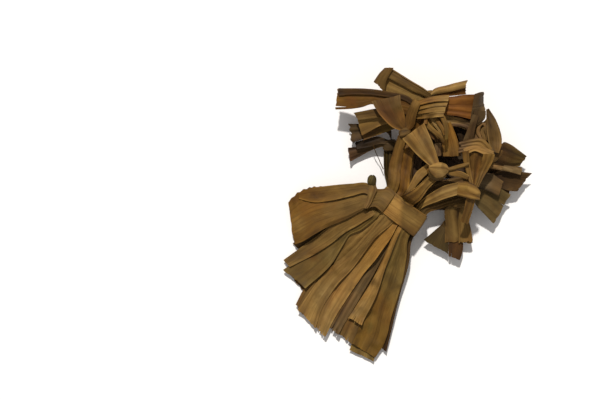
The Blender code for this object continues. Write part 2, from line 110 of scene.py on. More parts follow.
TINT_LAG, TINT_UNEVEN = 0.45, 0.12  # it takes on its end's tint at the same rate
STAIN_STRENGTH, STAIN_SIZE, STAIN_UNEVEN = 0.6, 1.2, 0.3
SIDE_RIM, END_RIM, KNOT_RIM, BAND_RIM = 0.7, 1.2, 0.9, 0.8  # how far in from its rims leaf is worn, with a painted highlight where a rim is pale
PATTERN_SPREAD = 400  # each surface starts somewhere else on the pattern of veins, within this

# A knot's turns, as shares of its size
KNOT_NEAR = 2.0  # a knot's height is read this near its middle, in millimetres
KNOT_OVERLAP = 0.5  # of two turns, in radians
KNOT_INNER, KNOT_OUTER = 0.86, 0.15  # where a turn starts, and how much farther out it ends
KNOT_FOLD, KNOT_UNEVEN, KNOT_SWAY = 0.035, 0.02, 0.08
KNOT_END = 0.3  # the least share of its width that its ends keep
KNOT_POWER = 3  # how square it is across

# How rough and glossy leaf and the table are, and how deep in millimetres the relief of a leaf is
ROUGHNESS, GLOSS = (0.6, 0.8), 0.15
BUMP_STRENGTH, BUMP_DEPTH = 0.55, 0.4
TABLE_ROUGHNESS, TABLE_GLOSS = 0.9, 0.1

# How a flap differs from its slot's colour: what its albedo is multiplied with
TINTS = {
    "plain": (1.0, 1.0, 1.0),
    "light": (1.32, 1.34, 1.34),
    "bright": (1.68, 1.72, 1.88),
    "pale": (1.80, 1.98, 2.60),
    "fresh": (2.25, 2.14, 2.05),
    "honey": (1.50, 1.42, 1.00),
    "gold": (1.15, 0.98, 0.56),
    "amber": (0.88, 0.76, 0.42),
    "orange": (1.16, 0.80, 0.50),
    "pink": (1.10, 1.00, 1.35),
    "ash": (0.95, 1.00, 1.80),
    "grey": (0.86, 0.92, 1.20),
    "slate": (0.58, 0.64, 1.05),
    "olive": (0.86, 0.94, 0.66),
    "moss": (0.50, 0.64, 0.62),
    "umber": (0.88, 0.64, 0.36),
    # shade and deep darken a flap; on the flaps that fill the head's hollow and gaps they are painted shade
    "shade": (0.66, 0.62, 0.56),
    "deep": (0.36, 0.32, 0.26),
}

# How a stalk differs from another flap
STALK_LOOK = {"flat": STALK_LEAF, "steep": STEEPEST_STALK, "curl": 0, "ragged": 0, "folds": 3, "wave": 0.15}


class Flap:
    """A sheet of leaf between two edges, each a row of (x, y, z) points, and how it looks."""

    def __init__(self, first, second, **look):
        self.first = np.array(first, float)
        self.second = np.array(second, float)
        self.flat = look.get("flat")  # the leaf's own width, before it was gathered
        self.folds = look.get("folds", 2)  # pleats across its width
        self.crease = look.get("crease", 0.15)  # the least depth that a pleat keeps
        self.deep = look.get("deep", 0.6)  # the greatest depth
        self.tint = look.get("tint", "plain")
        self.end_tint = look.get("end_tint", self.tint)
        self.back = look.get("back", 0.0)  # 1 where the leaf's paler side is up
        self.curl = look.get("curl", 0.5)  # how high its end turns up
        self.arch = look.get("arch", 0.0)  # how high its middle stands over its edges
        self.cup = look.get("cup", 0.0)  # how high its edges rise over its middle, away from its root
        self.lifts = look.get("lifts", (0.0, 0.0))  # how high its first and second edge stand
        self.ragged = look.get("ragged", 0.5)
        self.hems = look.get("hems", (0.0, 0.0))  # widths folded over at its first and second edge
        self.slits = look.get("slits", ())  # (place from -1 to 1, length) of each tear from its end
        self.wave = look.get("wave", 0.3)
        self.crumple = look.get("crumple", 0.14)
        self.pucker = look.get("pucker", 0.0)  # how deep its first edge is drawn into wrinkles
        self.spots = look.get("spots", ())  # (x, y, radius, tint) of each stain
        self.steep = look.get("steep", STEEPEST)


class Knot:
    """A knot: its middle, its size along, across and up, and the way it points in degrees."""

    def __init__(self, x, y, z, length, width, height, heading=0.0, **look):
        self.middle = np.array((x, y, z), float)
        self.drawn = z
        self.size = np.array((length, width, height), float)
        self.heading = math.radians(heading)
        self.turns = look.get("turns", 3)  # of leaf, one over the next like shingles
        self.start = look.get("start", 0.6)  # where round it the first turn's edge is, in radians
        self.slant = look.get("slant", 0.35)  # how far its turns run askew
        self.blunt = look.get("blunt", (3.0, 3.0))  # how squarely its two ends close
        self.under = look.get("under", 0.0)  # how far it stays under its solid's top
        self.tint = look.get("tint", "plain")


def strip(*stations, cut=0.0, **look):
    """A flap from the middle line and width of a strip: stations of (x, y, z, width)."""
    stations = np.array(stations, float)
    along = distances(stations[:, :2])
    at = np.linspace(0, along[-1], 3 * len(stations))
    x, y, z, width = smooth(along, stations, at).T
    heading = np.arctan2(np.gradient(y), np.gradient(x))
    near_end = np.clip(at / along[-1] * 3 - 2, 0, 1)
    edges = []
    for side in (-1, 1):
        reach = side * width / 2
        slant = reach * math.tan(math.radians(cut)) * near_end
        edge_x = x - reach * np.sin(heading) + slant * np.cos(heading)
        edge_y = y + reach * np.cos(heading) + slant * np.sin(heading)
        edges.append(np.stack([edge_x, edge_y, z], axis=1))
    return Flap(*edges, **look)


def skirt(x, *stations, **look):
    """A strip that starts inside the band, in the stack at x, and runs out into the skirt."""
    return strip((x, 0, 0, STACK_WIDTH), (x, -BAND_EDGE, 0, STACK_WIDTH), *stations, **look)


def stalk(x, *stations, **look):
    """A strip that starts inside the band, in the stack at x, and rises towards the head."""
    look = {"deep": 1.1, **STALK_LOOK, **look}
    return strip((x, 0, 0, STACK_WIDTH), (x, BAND_EDGE, 0, STACK_WIDTH), *stations, **look)


def raised_stalk(first, second, **look):
    """A stalk whose edges are drawn."""
    return Flap(first, second, **{"deep": 0.9, **STALK_LOOK, **look})


def shingles(first, second, count, crown, **look):
    """A wound sleeve seen from above: flaps beside each other from edge to edge, each over the last."""
    first, second = np.array(first, float), np.array(second, float)
    flaps = []
    for k in range(count):
        edges = []
        for share in (k / count - UNDERLAP, (k + 1) / count + OVERLAP * (k < count - 1)):
            edge = first + share * (second - first)
            edge[:, 2] += crown * math.sqrt(max(1 - (2 * share - 1) ** 2, 0))
            edges.append(edge)
        flaps.append(Flap(*edges, **look))
    return flaps


def distances(points):
    """How far along a route each of its points is."""
    return np.concatenate([[0], np.cumsum(np.linalg.norm(np.diff(points, axis=0), axis=1))])


def smooth(marks, values, at):
    """Values between the marks, on a curve that bends smoothly and never swings past a value."""
    step = np.diff(marks)
    rise = np.diff(values, axis=0) / step[:, None]
    slope = np.zeros_like(values)
    slope[0], slope[-1] = rise[0], rise[-1]
    before, after = rise[:-1], rise[1:]
    same = before * after > 0
    slope[1:-1][same] = 2 * (before * after)[same] / (before + after)[same]
    span = np.clip(np.searchsorted(marks, at, side="right") - 1, 0, len(step) - 1)
    t = ((at - marks[span]) / step[span])[:, None]
    width = step[span][:, None]
    return (
        values[span] * (1 + 2 * t) * (1 - t) ** 2
        + slope[span] * width * t * (1 - t) ** 2
        + values[span + 1] * t**2 * (3 - 2 * t)
        + slope[span + 1] * width * t**2 * (t - 1)
    )


# Every leaf but the band, from the table up
LEAVES = {}


def leaf(name, slot, *items):
    """Lists one leaf: its node, its slot, and its flaps and knots in the order they are laid."""
    LEAVES[name] = (slot, items)


# The skirt's lowest layer
leaf("skirt_leaf_01", "dark", skirt(LEFT, (-30, -36, 2, 18), (-48, -74, 1, 19), cut=-14, tint="light"))
leaf("skirt_leaf_02", "brown", skirt(RIGHT, (31, -56, 2, 20), (44, -104, 1, 23), cut=4))
leaf("skirt_leaf_03", "brown", skirt(INNER_RIGHT, (13, -62, 2, 19), (17, -111, 1, 23), cut=-6))
leaf("skirt_leaf_04", "dark", skirt(INNER_LEFT, (-3, -58, 2, 19), (-9, -110, 1, 24), cut=3, tint="light"))
# The dark leaf whose two wings show under the hanging leaf
leaf(
    "hanging_leaf_low", "dark",
    stalk(RIGHT, (22, 23, 5, 8), (38, 33, 10, 8)),
    Flap([(41, 32, 9), (44, 14, 4), (49, 5, 3), (55, -4, 2)],
         [(37, 32, 9), (36, 14, 5), (34, 6, 3), (31, -7, 2)],
         end_tint="olive", folds=1, crease=0.7, curl=0.8),
    Flap([(42, 31, 8), (48, 12, 4), (50, 4, 3), (56, -5, 2)],
         [(46, 31, 8), (58, 13, 4), (63, 6, 3), (66, -3, 2)],
         tint="umber", folds=1, crease=0.7, ragged=0.6, slits=((-0.6, 4),)),
    Knot(38, 33, 10, 12, 10, 8, 60),
)
# The dark, crumpled leaf lowest at the left
leaf(
    "left_leaf_low", "dark",
    stalk(LEFT, (-28, 27, 5, 8), (-39, 43, 10, 9), tint="olive"),
    Flap([(-39, 42, 8), (-47, 33, 7), (-54, 20, 5), (-58, 12.5, 4)],
         [(-41, 44, 9), (-52, 34, 8), (-60, 26, 7), (-66, 21, 6)],
         tint="light", end_tint="pink", deep=0.9, curl=1.0, ragged=0.6),
    Flap([(-38, 43, 10), (-45, 39.5, 10), (-51, 32.5, 10), (-58.5, 25, 9)],
         [(-41, 46, 11), (-50.6, 43, 11), (-57, 36, 11), (-65, 27, 9)],
         tint="shade", end_tint="deep", folds=1, crease=0.7, crumple=0.5, curl=0.8, ragged=0.9),
    Flap([(-38, 46, 11), (-46, 50, 13), (-58, 36, 11), (-66, 26, 8)],
         [(-40, 48, 12), (-50, 58, 14), (-66, 45, 12), (-77, 38, 9)],
         tint="shade", end_tint="plain", crease=0.5, deep=0.9, crumple=0.3, curl=1.2, ragged=1.0),
    Knot(-38, 43, 10, 12, 10, 8, 50),
)
# The lowest leaf at the right
leaf(
    "right_leaf_low", "brown",
    stalk(INNER_RIGHT, (12, 30, 5, 8), (28, 50, 7, 8), (44, 65, 11, 8), tint="shade"),
    strip((38, 66, 10, 9), (44, 74, 11, 11), (50, 80, 10, 9), tint="shade"),
    Flap([(46, 63, 11), (57, 62, 11), (68, 66, 9)], [(43, 70, 12), (52, 75, 12), (63, 77, 10)], tint="grey",
         end_tint="pink", crumple=0.25),
    Flap([(46, 66, 13), (54, 66, 13), (66, 69, 12), (72, 72, 10)],
         [(44, 69, 13), (51, 79, 13), (62, 86, 12), (73, 92, 10)],
         tint="deep", end_tint="shade", folds=1, crease=0.8, cup=1.0, curl=0.9, ragged=0.4),
    Knot(44, 66, 11, 12, 10, 8, 40),
)
# The leaf under the middle of the head, and crumpled ends that show in the hollow and between stalks; the
# ends' shade and deep tints are painted shade of that hollow
leaf(
    "head_leaf_under", "dark",
    stalk(LEFT, (-9, 30, 5, 8), (-3, 48, 9, 9)),
    strip((-3, 49, 9, 8), (-11, 64, 9, 20), (-16, 80, 8, 25), cut=5),
    strip((-2, 49, 10, 8), (7, 69, 12, 22), (11, 90, 12, 27), cut=-8, tint="grey"),
    strip((-1, 48, 9, 7), (11, 53, 8, 15), (27, 64, 6, 17), cut=10),
    Knot(-3, 48, 9, 14, 12, 9, 70),
    Flap([(-6, 15, 19), (-12, 30, 20), (-19, 48, 21)], [(-1, 20, 19), (-5, 35, 20), (-10, 51, 21)],
         tint="ash", end_tint="pink", folds=3, crease=0.6, deep=1.2, crumple=0.3),
    Flap([(6, 4, 13), (7, 20, 15), (6, 32, 16), (3, 44, 17)],
         [(15, 4, 12), (20, 20, 14), (30, 34, 15), (31, 47, 15)],
         tint="shade", folds=4, crease=0.5, deep=1.2, crumple=0.6),
    Flap([(9, 54, 15), (14, 50, 15), (24, 50, 14)], [(11, 66, 16), (18, 66, 16), (30, 62, 14)], tint="ash",
         folds=3, crease=0.5, deep=1.2, crumple=0.7),
    # Under flaps whose deep tint is painted shade, standing for the dark hollow under the head
    Flap([(-24, 66, 18), (-14, 60, 18), (-2, 58, 17), (8, 58, 16)],
         [(-24, 82, 20), (-14, 78, 20), (0, 72, 19), (12, 66, 18)],
         tint="deep", folds=4, crease=0.5, deep=1.2, crumple=0.8),
    Flap([(-16, 84, 19), (-4, 84, 20), (8, 78, 19), (18, 72, 18)],
         [(-12, 101, 20), (2, 104, 19), (13, 102, 18), (28, 88, 19)],
         tint="deep", folds=4, crease=0.6, deep=1.2, crumple=0.8),
    Flap([(-17, 9, 10), (-18, 16, 11), (-19, 24, 12)], [(-7, 9, 10), (-6, 16, 11), (-6, 24, 12)],
         tint="shade", folds=3, crease=0.5, crumple=0.5),
    # Another under flap whose deep tint is painted shade of the hollow
    Flap([(13, 71, 17), (22, 70, 17), (33, 69, 16)], [(14, 84, 18), (24, 86, 18), (34, 84, 17)], tint="deep",
         folds=4, crease=0.5, deep=1.2, crumple=0.8),
)
# The skirt's lower layers
leaf(
    "skirt_leaf_05", "olive",
    Flap([(12, 0, 3), (13, -13, 3), (17, -40, 4), (26, -85, 3), (33.4, -118.4, 3)],
         [(20, 0, 3), (21, -13, 3), (33, -50, 4), (46, -90, 3), (55.8, -114.6, 3)],
         end_tint="light", back=0.6, ragged=0.3),
)
leaf(
    "skirt_leaf_06", "brown",
    Flap([(15, 0, 15), (17, -13, 16), (25, -31, 12), (35, -58, 8), (50, -102, 4)],
         [(21, 0, 14), (22.5, -12, 15), (31.5, -28.9, 12), (41.9, -57.4, 8), (59.8, -101.3, 4)],
         tint="shade", end_tint="deep", crease=0.5, hems=(0, 3.0), ragged=0.8),
)
leaf(
    "skirt_leaf_07", "tan",
    skirt(LEFT, (-21, -46, 5, 18), (-34, -88, 1, 24), (-36, -97, 1, 24), cut=3, tint="shade", ragged=0.8),
)
# The leaf that hangs down beside the band
leaf(
    "hanging_leaf", "tan",
    stalk(RIGHT, (23, 25, 8, 8), (36, 37, 16, 9), tint="shade"),
    Flap([(31, 33, 16), (30, 26, 15), (38, 15, 12), (47, 2, 8)],
         [(41, 38, 17), (46, 33, 16), (54, 27, 12), (66, 16, 8)],
         crease=0.7, deep=1.0, cup=-0.8, curl=1.2, ragged=0.9, slits=((0.1, 3), (0.55, 4))),
    Flap([(38, 36, 17), (44, 25, 15), (51, 16, 12), (56, 9, 10)],
         [(42, 38, 17), (49, 31, 15), (57, 25, 12), (65, 17, 9)],
         tint="light", folds=1, lifts=(0, 1.0), curl=1.0, ragged=1.0),
    Knot(36, 37, 16, 13, 11, 9, 40),
)
# The greyish leaf that spreads to the right
leaf(
    "right_leaf_middle", "olive",
    stalk(RIGHT, (24, 27, 10, 8), (34, 40, 14, 8), (42, 49, 16, 7), tint="shade"),
    Flap([(43, 46, 16), (50, 42.3, 15), (61, 40.5, 12), (71.5, 38.8, 9)],
         [(40, 51, 17), (45, 57, 16), (53, 65, 13), (69, 67, 9)],
         tint="grey", folds=1, crease=0.8, deep=1.2, curl=0.7, ragged=0.6, slits=((0.25, 4),)),
    Flap([(38, 68, 20), (47, 72, 19), (57, 72, 16)], [(41, 54, 20), (50, 58, 19), (61, 60, 16)], tint="ash",
         end_tint="pink", back=0.8, folds=1, crease=0.8, curl=0.6),
    Knot(42, 49, 16, 10, 8, 7, 40),
)
# The leaf farthest out at the right, with a coil and a long pointed flap
leaf(
    "right_leaf_tall", "brown",
    stalk(INNER_RIGHT, (10, 29, 10, 8), (22, 46, 13, 8), (36, 66, 15, 8), (38, 86, 19, 7)),
    Flap([(36, 79, 18), (44, 79, 16), (53, 82, 13), (61, 91, 9)],
         [(36, 88, 19), (38, 99, 16), (48, 101, 13), (61, 101, 9)],
         tint="shade", end_tint="olive", crease=0.8, cup=0.8, curl=0.8, ragged=0.4,
         spots=((46, 86, 6, "shade"),)),
    Flap([(35, 84, 21), (28, 80, 22), (17, 84, 22), (9, 92, 22)],
         [(37, 92, 20), (30, 94, 22), (22, 99, 22), (15, 106, 20)],
         tint="ash", end_tint="light", back=0.8, folds=4, crease=0.6, deep=1.2, crumple=0.5, curl=1.0),
    strip((21, 90, 24, 3), (15, 93, 25, 3), (13, 98, 26, 2.6), (15, 101, 26, 2.4), (19, 98, 25, 2.2),
          (21, 94, 24, 2), tint="pale", back=0.6, folds=1, arch=0.8, curl=0.6, ragged=0.3),
    strip((25, 88, 24, 3), (21, 92, 26, 2.6), (17, 96, 27, 2.4), (17, 98, 27, 2.2), (22, 95, 26, 2.2),
          (25, 91, 25, 2), tint="light", back=0.4, folds=1, arch=0.8, curl=0.6, ragged=0.3),
    Flap([(34, 86, 24), (30, 88, 25), (24, 93, 26), (18, 100, 26), (10, 112, 23)],
         [(39, 88, 23), (37, 95, 24), (33, 101, 25), (22, 109, 25), (11, 114, 23)],
         tint="light", end_tint="plain", folds=1, crease=0.8, cup=1.0, curl=0.3, ragged=0.2),
    Flap([(40, 74, 18), (47, 77, 19), (55, 81, 18)], [(39, 77, 18), (45, 80, 19), (53, 84, 18)], tint="pale",
         back=0.7, folds=1, arch=0.5, ragged=0.3),
    Flap([(50, 79, 17), (58, 82, 16), (66, 85, 15)], [(49, 83, 17), (56, 87, 17), (63, 91, 15)], tint="pale",
         back=0.7, folds=1, crumple=0.3, ragged=0.4),
    Knot(38, 86, 20, 14, 9, 9, 80, tint="light"),
)
# The skirt's middle layers
leaf(
    "skirt_leaf_08", "tan",
    Flap([(2, 0, 8), (3, -13, 8), (8, -60, 3.5), (16, -113, 3)],
         [(9, 0, 8), (11, -13, 8), (22, -60, 3.5), (33, -113, 3)],
         ragged=0.7, slits=((0.3, 5),)),
)
leaf(
    "skirt_leaf_09", "dark",
    Flap([(1, 0, 12), (2, -13, 12), (3, -60, 3.5), (8, -113, 4)],
         [(9, 0, 12), (9, -13, 12), (14, -60, 4.5), (18, -113, 4)],
         tint="bright", folds=3, crease=0.5, deep=0.8, crumple=0.2, curl=1.8, ragged=0.8,
         slits=((-0.4, 8), (0.3, 5))),
)
# The leaf with two bright panels at the left
leaf(
    "left_leaf_middle", "tan",
    stalk(INNER_LEFT, (-16, 34, 8, 8), (-29, 56, 13, 9), (-38, 69, 18, 9), tint="shade"),
    Flap([(-40, 60, 21), (-48.5, 48, 16), (-59, 33, 12)], [(-40, 64, 22), (-55.6, 50, 17), (-64, 37.5, 13)],
         tint="olive", end_tint="shade", folds=1, curl=0.3),
    Flap([(-42, 63, 26), (-54, 51.3, 23), (-58.3, 43.3, 20), (-62.2, 35.4, 17)],
         [(-44, 69, 27), (-59.5, 57.5, 24), (-66.6, 50.2, 21), (-72.6, 43.7, 18)],
         tint="bright", end_tint="light", folds=1, crease=0.4, hems=(0, 1.0), curl=0.3, ragged=0.3),
    Flap([(-44, 67, 28), (-57.7, 56.4, 25), (-65.4, 50.1, 22), (-72.6, 43.9, 18)],
         [(-44, 71, 28), (-64.9, 60.3, 26), (-72.9, 52.8, 22), (-79.0, 46.8, 18)],
         tint="shade", end_tint="plain", folds=1, crease=0.5, arch=0.8, hems=(1.0, 0), curl=0.4, ragged=0.4),
    Flap([(-36, 70, 20), (-15, 83, 24), (-4, 86, 24), (7, 89, 22)],
         [(-38, 73, 20), (-18, 89, 25), (-7, 92, 25), (5, 96, 23)],
         tint="pale", back=0.7, folds=1, crumple=0.2, curl=0.8, ragged=0.7),
    Flap([(-17, 88, 26), (-10, 91, 27), (-3, 94, 27), (7, 97, 25)],
         [(-14, 82, 25), (-6, 85, 26), (0, 88, 26), (8, 91, 25)],
         tint="pale", end_tint="ash", back=0.8, crease=0.5, deep=0.8, curl=0.8),
    strip((-8, 77, 24, 2.6), (-8, 82, 25, 2.6), (-3, 87, 26, 2.6), (4, 90, 26, 2.4), (8, 89, 25, 2.2),
          (10, 85, 23, 2), tint="ash", back=0.4, folds=1, crumple=0.2, arch=0.9, curl=0.3, ragged=0.4),
    Knot(-38, 70, 19, 14, 12, 9, 50),
)
# The topmost leaf, rolled over at its end
leaf(
    "top_leaf", "tan",
    stalk(INNER_LEFT, (-16, 36, 14, 8), (-30, 66, 20, 8), (-35, 93, 26, 8), tint="shade"),
    Flap([(-33, 88, 26), (-41, 83, 27), (-53, 77, 27), (-68, 75, 25)],
         [(-34, 95, 27), (-45, 92, 28), (-55, 91, 29), (-74, 88, 28)],
         tint="light", back=0.5, folds=1, crease=0.3, curl=0.2, ragged=0.3),
    Flap([(-32, 93, 28), (-38, 91, 29), (-53, 88, 30), (-74, 86, 30)],
         [(-33, 96, 28), (-42, 96, 30), (-54, 95, 31), (-76, 94, 30)],
         folds=1, crease=0.5, arch=1.4, hems=(0, 1.5), curl=0.2, ragged=0.2),
    Flap([(-73, 95, 30), (-72, 85, 30), (-67, 75, 26)], [(-79, 91, 29), (-80, 84, 28), (-80, 77, 25)],
         crease=0.5, arch=1.6, curl=0.4, ragged=0.4),
    Flap([(-32, 95, 25), (-31, 96, 25), (-21, 104, 25), (-11, 113, 22)],
         [(-35, 95, 26), (-34, 98, 26), (-24, 108, 27), (-15, 118, 24)],
         tint="umber", folds=1, curl=0.3, ragged=0.4),
    Flap([(-34, 94, 27), (-32, 97, 27), (-23, 107, 27), (-14, 117, 25)],
         [(-36, 95, 27), (-36, 98, 27), (-28, 110, 27), (-17, 123, 25)],
         tint="bright", back=0.4, folds=1, arch=0.7, curl=1.0, ragged=0.6),
    Knot(-35, 94, 26, 10, 10, 8, 45),
)
# The leaf that crosses the head through a sleeve, and its twisted ends
leaf(
    "crossing_leaf", "golden",
    raised_stalk([(-10, 0, 17), (-11, 12, 18), (-19, 27, 20), (-27, 45, 23), (-34, 79, 30)],
                 [(-2, 0, 17), (-4, 16, 18), (-11, 32, 20), (-19, 48, 23), (-25, 83, 30)],
                 tint="gold", folds=1, deep=1.0),
    Flap([(-34, 76, 31), (-41, 71, 30), (-56, 65, 29), (-70, 61, 28), (-76, 54, 26), (-83, 47.5, 24),
          (-93, 40.5, 21)],
         [(-38, 81, 31), (-47, 80, 31), (-63, 74, 30), (-76, 69, 28), (-83, 65, 27), (-91, 61, 25),
          (-101, 55.5, 21)],
         tint="amber", folds=1, crease=0.4, curl=0.2, slits=((-0.75, 9),),
         spots=((-88, 52, 7, "umber"), (-94, 48, 5, "gold"))),
    Flap([(-40, 79, 32), (-47, 79, 32), (-65, 72, 31), (-78, 65, 29), (-90, 57, 26), (-97, 51, 22)],
         [(-41, 81, 32), (-48, 83, 32), (-65, 77, 31), (-81, 69, 29), (-92, 62, 26), (-101, 56, 22)],
         tint="deep", folds=1, crease=0.2, arch=0.5, curl=0.2, ragged=0.3),
    Flap([(-27, 90, 31), (-19, 88, 31), (-7, 93, 31), (5, 98, 29)],
         [(-29, 98, 32), (-22, 102, 32), (-13, 110, 33), (-4, 117, 30)],
         tint="orange", folds=3, crease=0.3, deep=0.9, flat=26, cup=0.8, curl=0.2, ragged=0.3),
    Flap([(3, 97, 28), (8, 102, 22), (12, 108, 14)], [(-6, 116, 29), (-3, 120, 25), (0, 123, 15)],
         tint="slate", folds=1, wave=0.2, curl=0, ragged=0.4, steep=1.6),
    Flap([(1, 104, 26), (6, 98, 25), (8, 89, 24)], [(10, 110, 24), (13, 104, 23), (10, 93, 23)],
         tint="slate", folds=1, crease=0.5, crumple=0.3, ragged=0.6),
    Flap([(2, 101, 28), (5, 92, 27), (7, 86, 26), (9, 79, 25)],
         [(7, 103, 27), (10, 95, 27), (13, 89, 26), (16, 84, 25)],
         tint="slate", back=0.4, folds=1, crease=0.4, curl=0.4),
    Flap([(-26, 74, 27), (-16, 69, 27), (-10, 66, 26), (-6, 65, 25)],
         [(-20, 80, 27), (-13, 76, 27), (-6, 72, 26), (-2, 69, 25)],
         tint="ash", end_tint="pink", back=0.4, folds=3, crease=0.6, deep=1.0, ragged=0.8),
    strip((-7, 66, 23, 6), (-4, 62, 23, 6), (-1, 58, 23, 5), tint="ash", back=0.6, ragged=0.8),
    Flap([(-12, 80, 31), (-8, 73, 30), (-3, 66, 28), (3, 59, 26)],
         [(-9, 86, 31), (2, 79, 29), (9, 74, 28), (15, 68, 26)],
         tint="honey", end_tint="light", crease=0.6, deep=1.0, crumple=0.3, curl=0.8),
    Flap([(-28, 73, 27), (-19.6, 69, 27), (-10, 67, 26)], [(-17, 86, 28), (-11, 80, 27), (-5, 74, 26)],
         end_tint="shade", folds=4, crease=0.8, deep=1.2, crumple=0.5, ragged=0.8),
    strip((-25, 72, 30, 3), (-18, 69, 29, 3), (-11.6, 66.5, 28, 2.4), tint="pink", folds=1, arch=0.7),
    strip((-21, 84, 32, 3), (-16, 83, 32, 3), (-12.3, 80, 31, 2.8), (-8, 75, 30, 2.4), tint="ash", back=0.4,
          folds=1, arch=0.7),
    strip((-24, 80, 31, 3), (-19, 77, 31, 3), (-13, 75, 31, 3), (-7, 71, 30, 2.5), tint="pale", back=0.5,
          folds=1, arch=0.8),
    strip((-24, 82, 31, 2.6), (-18, 79.6, 31, 2.8), (-12, 77, 30, 2.6), (-7, 73.7, 29, 2.2), tint="light",
          folds=1, arch=0.7),
    strip((-26, 74, 31, 3.4), (-21, 72, 31, 3.6), (-14, 71, 31, 3.4), (-8, 70, 30, 3), (-4, 68, 29, 2.6),
          tint="light", folds=1, arch=0.9, ragged=0.8),
    strip((-25, 72, 31, 3), (-28, 79, 32, 3.6), (-24, 84, 33, 3.8), (-19, 85, 33, 4), (-13, 82, 33, 4),
          (-8, 77, 32, 3.6), (-4, 71, 31, 2.6), tint="light", end_tint="olive", crease=0.4, arch=0.9),
    *shingles([(-37, 70, 30), (-29, 76, 31), (-22, 82, 31), (-17, 86, 30)],
              [(-43, 81, 30), (-36, 91, 31), (-30, 97, 31), (-22, 103, 30)],
              4, 3.0, tint="light", end_tint="pale", crease=0.7, crumple=0.3, arch=0.6, curl=0.6, ragged=0.4,
              steep=1.2),
)
# The leaf with the large knot at the right and its cupped flap
leaf(
    "right_leaf_top", "golden",
    raised_stalk([(13, 0, 17), (13, 11, 18), (21, 27, 27), (32, 42, 32)],
                 [(12, 0, 17), (9, 15, 19), (15, 36, 29), (26, 50, 33)],
                 tint="bright", end_tint="pale", folds=2, crumple=0.3),
    Flap([(32, 88, 29), (22, 90, 30), (13, 84, 29), (6, 76, 28)],
         [(30, 76, 29), (22, 78, 30), (17, 74, 30), (12, 69, 29)],
         tint="bright", end_tint="ash", back=0.4, folds=4, crease=0.6, deep=1.0, crumple=0.6, ragged=1.2),
    Knot(37, 47, 32, 11, 8, 7, 35, turns=4, start=0.9, slant=0.5, tint="light"),
    Flap([(35, 50, 31), (26, 60, 30), (19, 67, 30), (14, 72, 32)],
         [(38, 53, 31), (35, 64, 30), (31, 73, 31), (29, 80, 33)],
         tint="gold", end_tint="plain", crease=0.8, deep=1.2, cup=-2.0, curl=2.0, ragged=0.4,
         spots=((28, 65, 6, "shade"), (32, 60, 4, "shade"))),
    Flap([(12, 73, 33), (17, 80, 34), (25, 84, 34), (34, 86, 33)],
         [(17, 71, 33), (21, 77, 34), (28, 79, 34), (35, 82, 33)],
         tint="pale", back=0.4, folds=3, crease=0.5, deep=0.9, crumple=0.6, ragged=1.2),
    Flap([(36, 50, 33), (26, 58.5, 34), (17, 66, 36), (12.5, 71, 37)],
         [(37, 52.5, 33), (28.5, 61, 34), (20.5, 69.5, 36), (16.5, 74.5, 37)],
         tint="light", folds=1, crease=0.6, arch=0.9, curl=1.0),
    Flap([(37, 52, 33), (34, 62, 33), (30.5, 73, 34), (27.5, 79, 35)],
         [(40, 54, 33), (39, 67, 34), (38, 77, 36), (35.5, 84, 37)],
         end_tint="light", crease=0.9, deep=1.3, lifts=(0, 1.2), curl=1.2),
    Flap([(37, 44, 31), (38, 40, 30), (42, 32, 26), (45, 23, 23)],
         [(42, 47, 31), (45, 43, 30), (49, 33, 26), (52, 25, 22)],
         crease=0.6, arch=0.8, curl=0.4),
    Flap([(24, 49, 34), (31, 53, 35), (37, 54, 35), (43, 52.5, 34)],
         [(30, 39, 34), (36, 41, 35), (42, 43.5, 34.5), (47.5, 46.5, 33.5)],
         tint="light", end_tint="bright", crease=1.1, deep=1.5, crumple=0.3, arch=0.2, curl=-0.2, ragged=0.3,
         steep=0.8),
)
# The skirt's upper layers
leaf(
    "skirt_leaf_10", "olive",
    Flap([(9, 0, 21), (9, -9, 21), (12, -30, 12.5), (17, -60, 6.5), (24, -85, 3.5), (29, -98, 3),
          (32, -112, 4)],
         [(18, 0, 20), (18, -9, 21), (28, -28, 13.5), (36, -45, 8.5), (45.5, -73, 4.5), (55, -103, 4),
          (55, -111, 4)],
         tint="light", end_tint="gold", crease=0.25, deep=0.4, wave=0.5, curl=0.6,
         spots=((22, -49, 8, "shade"), (34, -53, 6, "shade"), (30, -47, 6, "grey"), (24, -64, 5, "pink"),
                (38, -70, 9, "gold"), (44, -100, 12, "gold"), (36, -92, 6, "olive"))),
)
# The leaf with the upper left knot, and the loose fibre
leaf(
    "left_leaf_top", "brown",
    raised_stalk([(-19, 0, 18), (-20, 9, 19), (-30, 29, 24), (-38, 52, 31)],
                 [(-11, 0, 18), (-12, 13, 19), (-22, 35, 25), (-33, 57, 31)],
                 tint="honey", folds=1),
    Flap([(-34, 58, 31), (-46, 54.5, 32), (-60, 57, 32), (-72, 62, 31)],
         [(-36, 60, 31), (-46, 71, 33), (-51, 74.5, 34), (-56, 80, 33)],
         tint="gold", end_tint="plain", folds=1, crease=0.9, deep=1.0, curl=0.4, ragged=0.3,
         spots=((-56, 62, 10, "orange"), (-52, 72, 6, "olive"))),
    Flap([(-35, 58, 32), (-41.5, 67, 33), (-44, 75, 34), (-45, 84, 34)],
         [(-33, 58.5, 32), (-32, 65, 33), (-36, 75, 34), (-38, 83, 34)],
         tint="gold", end_tint="honey", folds=1, crease=0.6, cup=0.7, curl=0.6, ragged=0.4),
    Knot(-35, 57, 31, 9, 7, 6, 60, tint="light"),
    Flap([(-50, 34.7, 11), (-44.7, 31, 7), (-38.5, 27.6, 4), (-31, 23, 2)],
         [(-49.9, 35.2, 11), (-44.5, 31.5, 7), (-38.3, 28.1, 4), (-30.8, 23.5, 2)],
         tint="shade", folds=1, crease=0, deep=0, wave=0, curl=0, ragged=0),
)
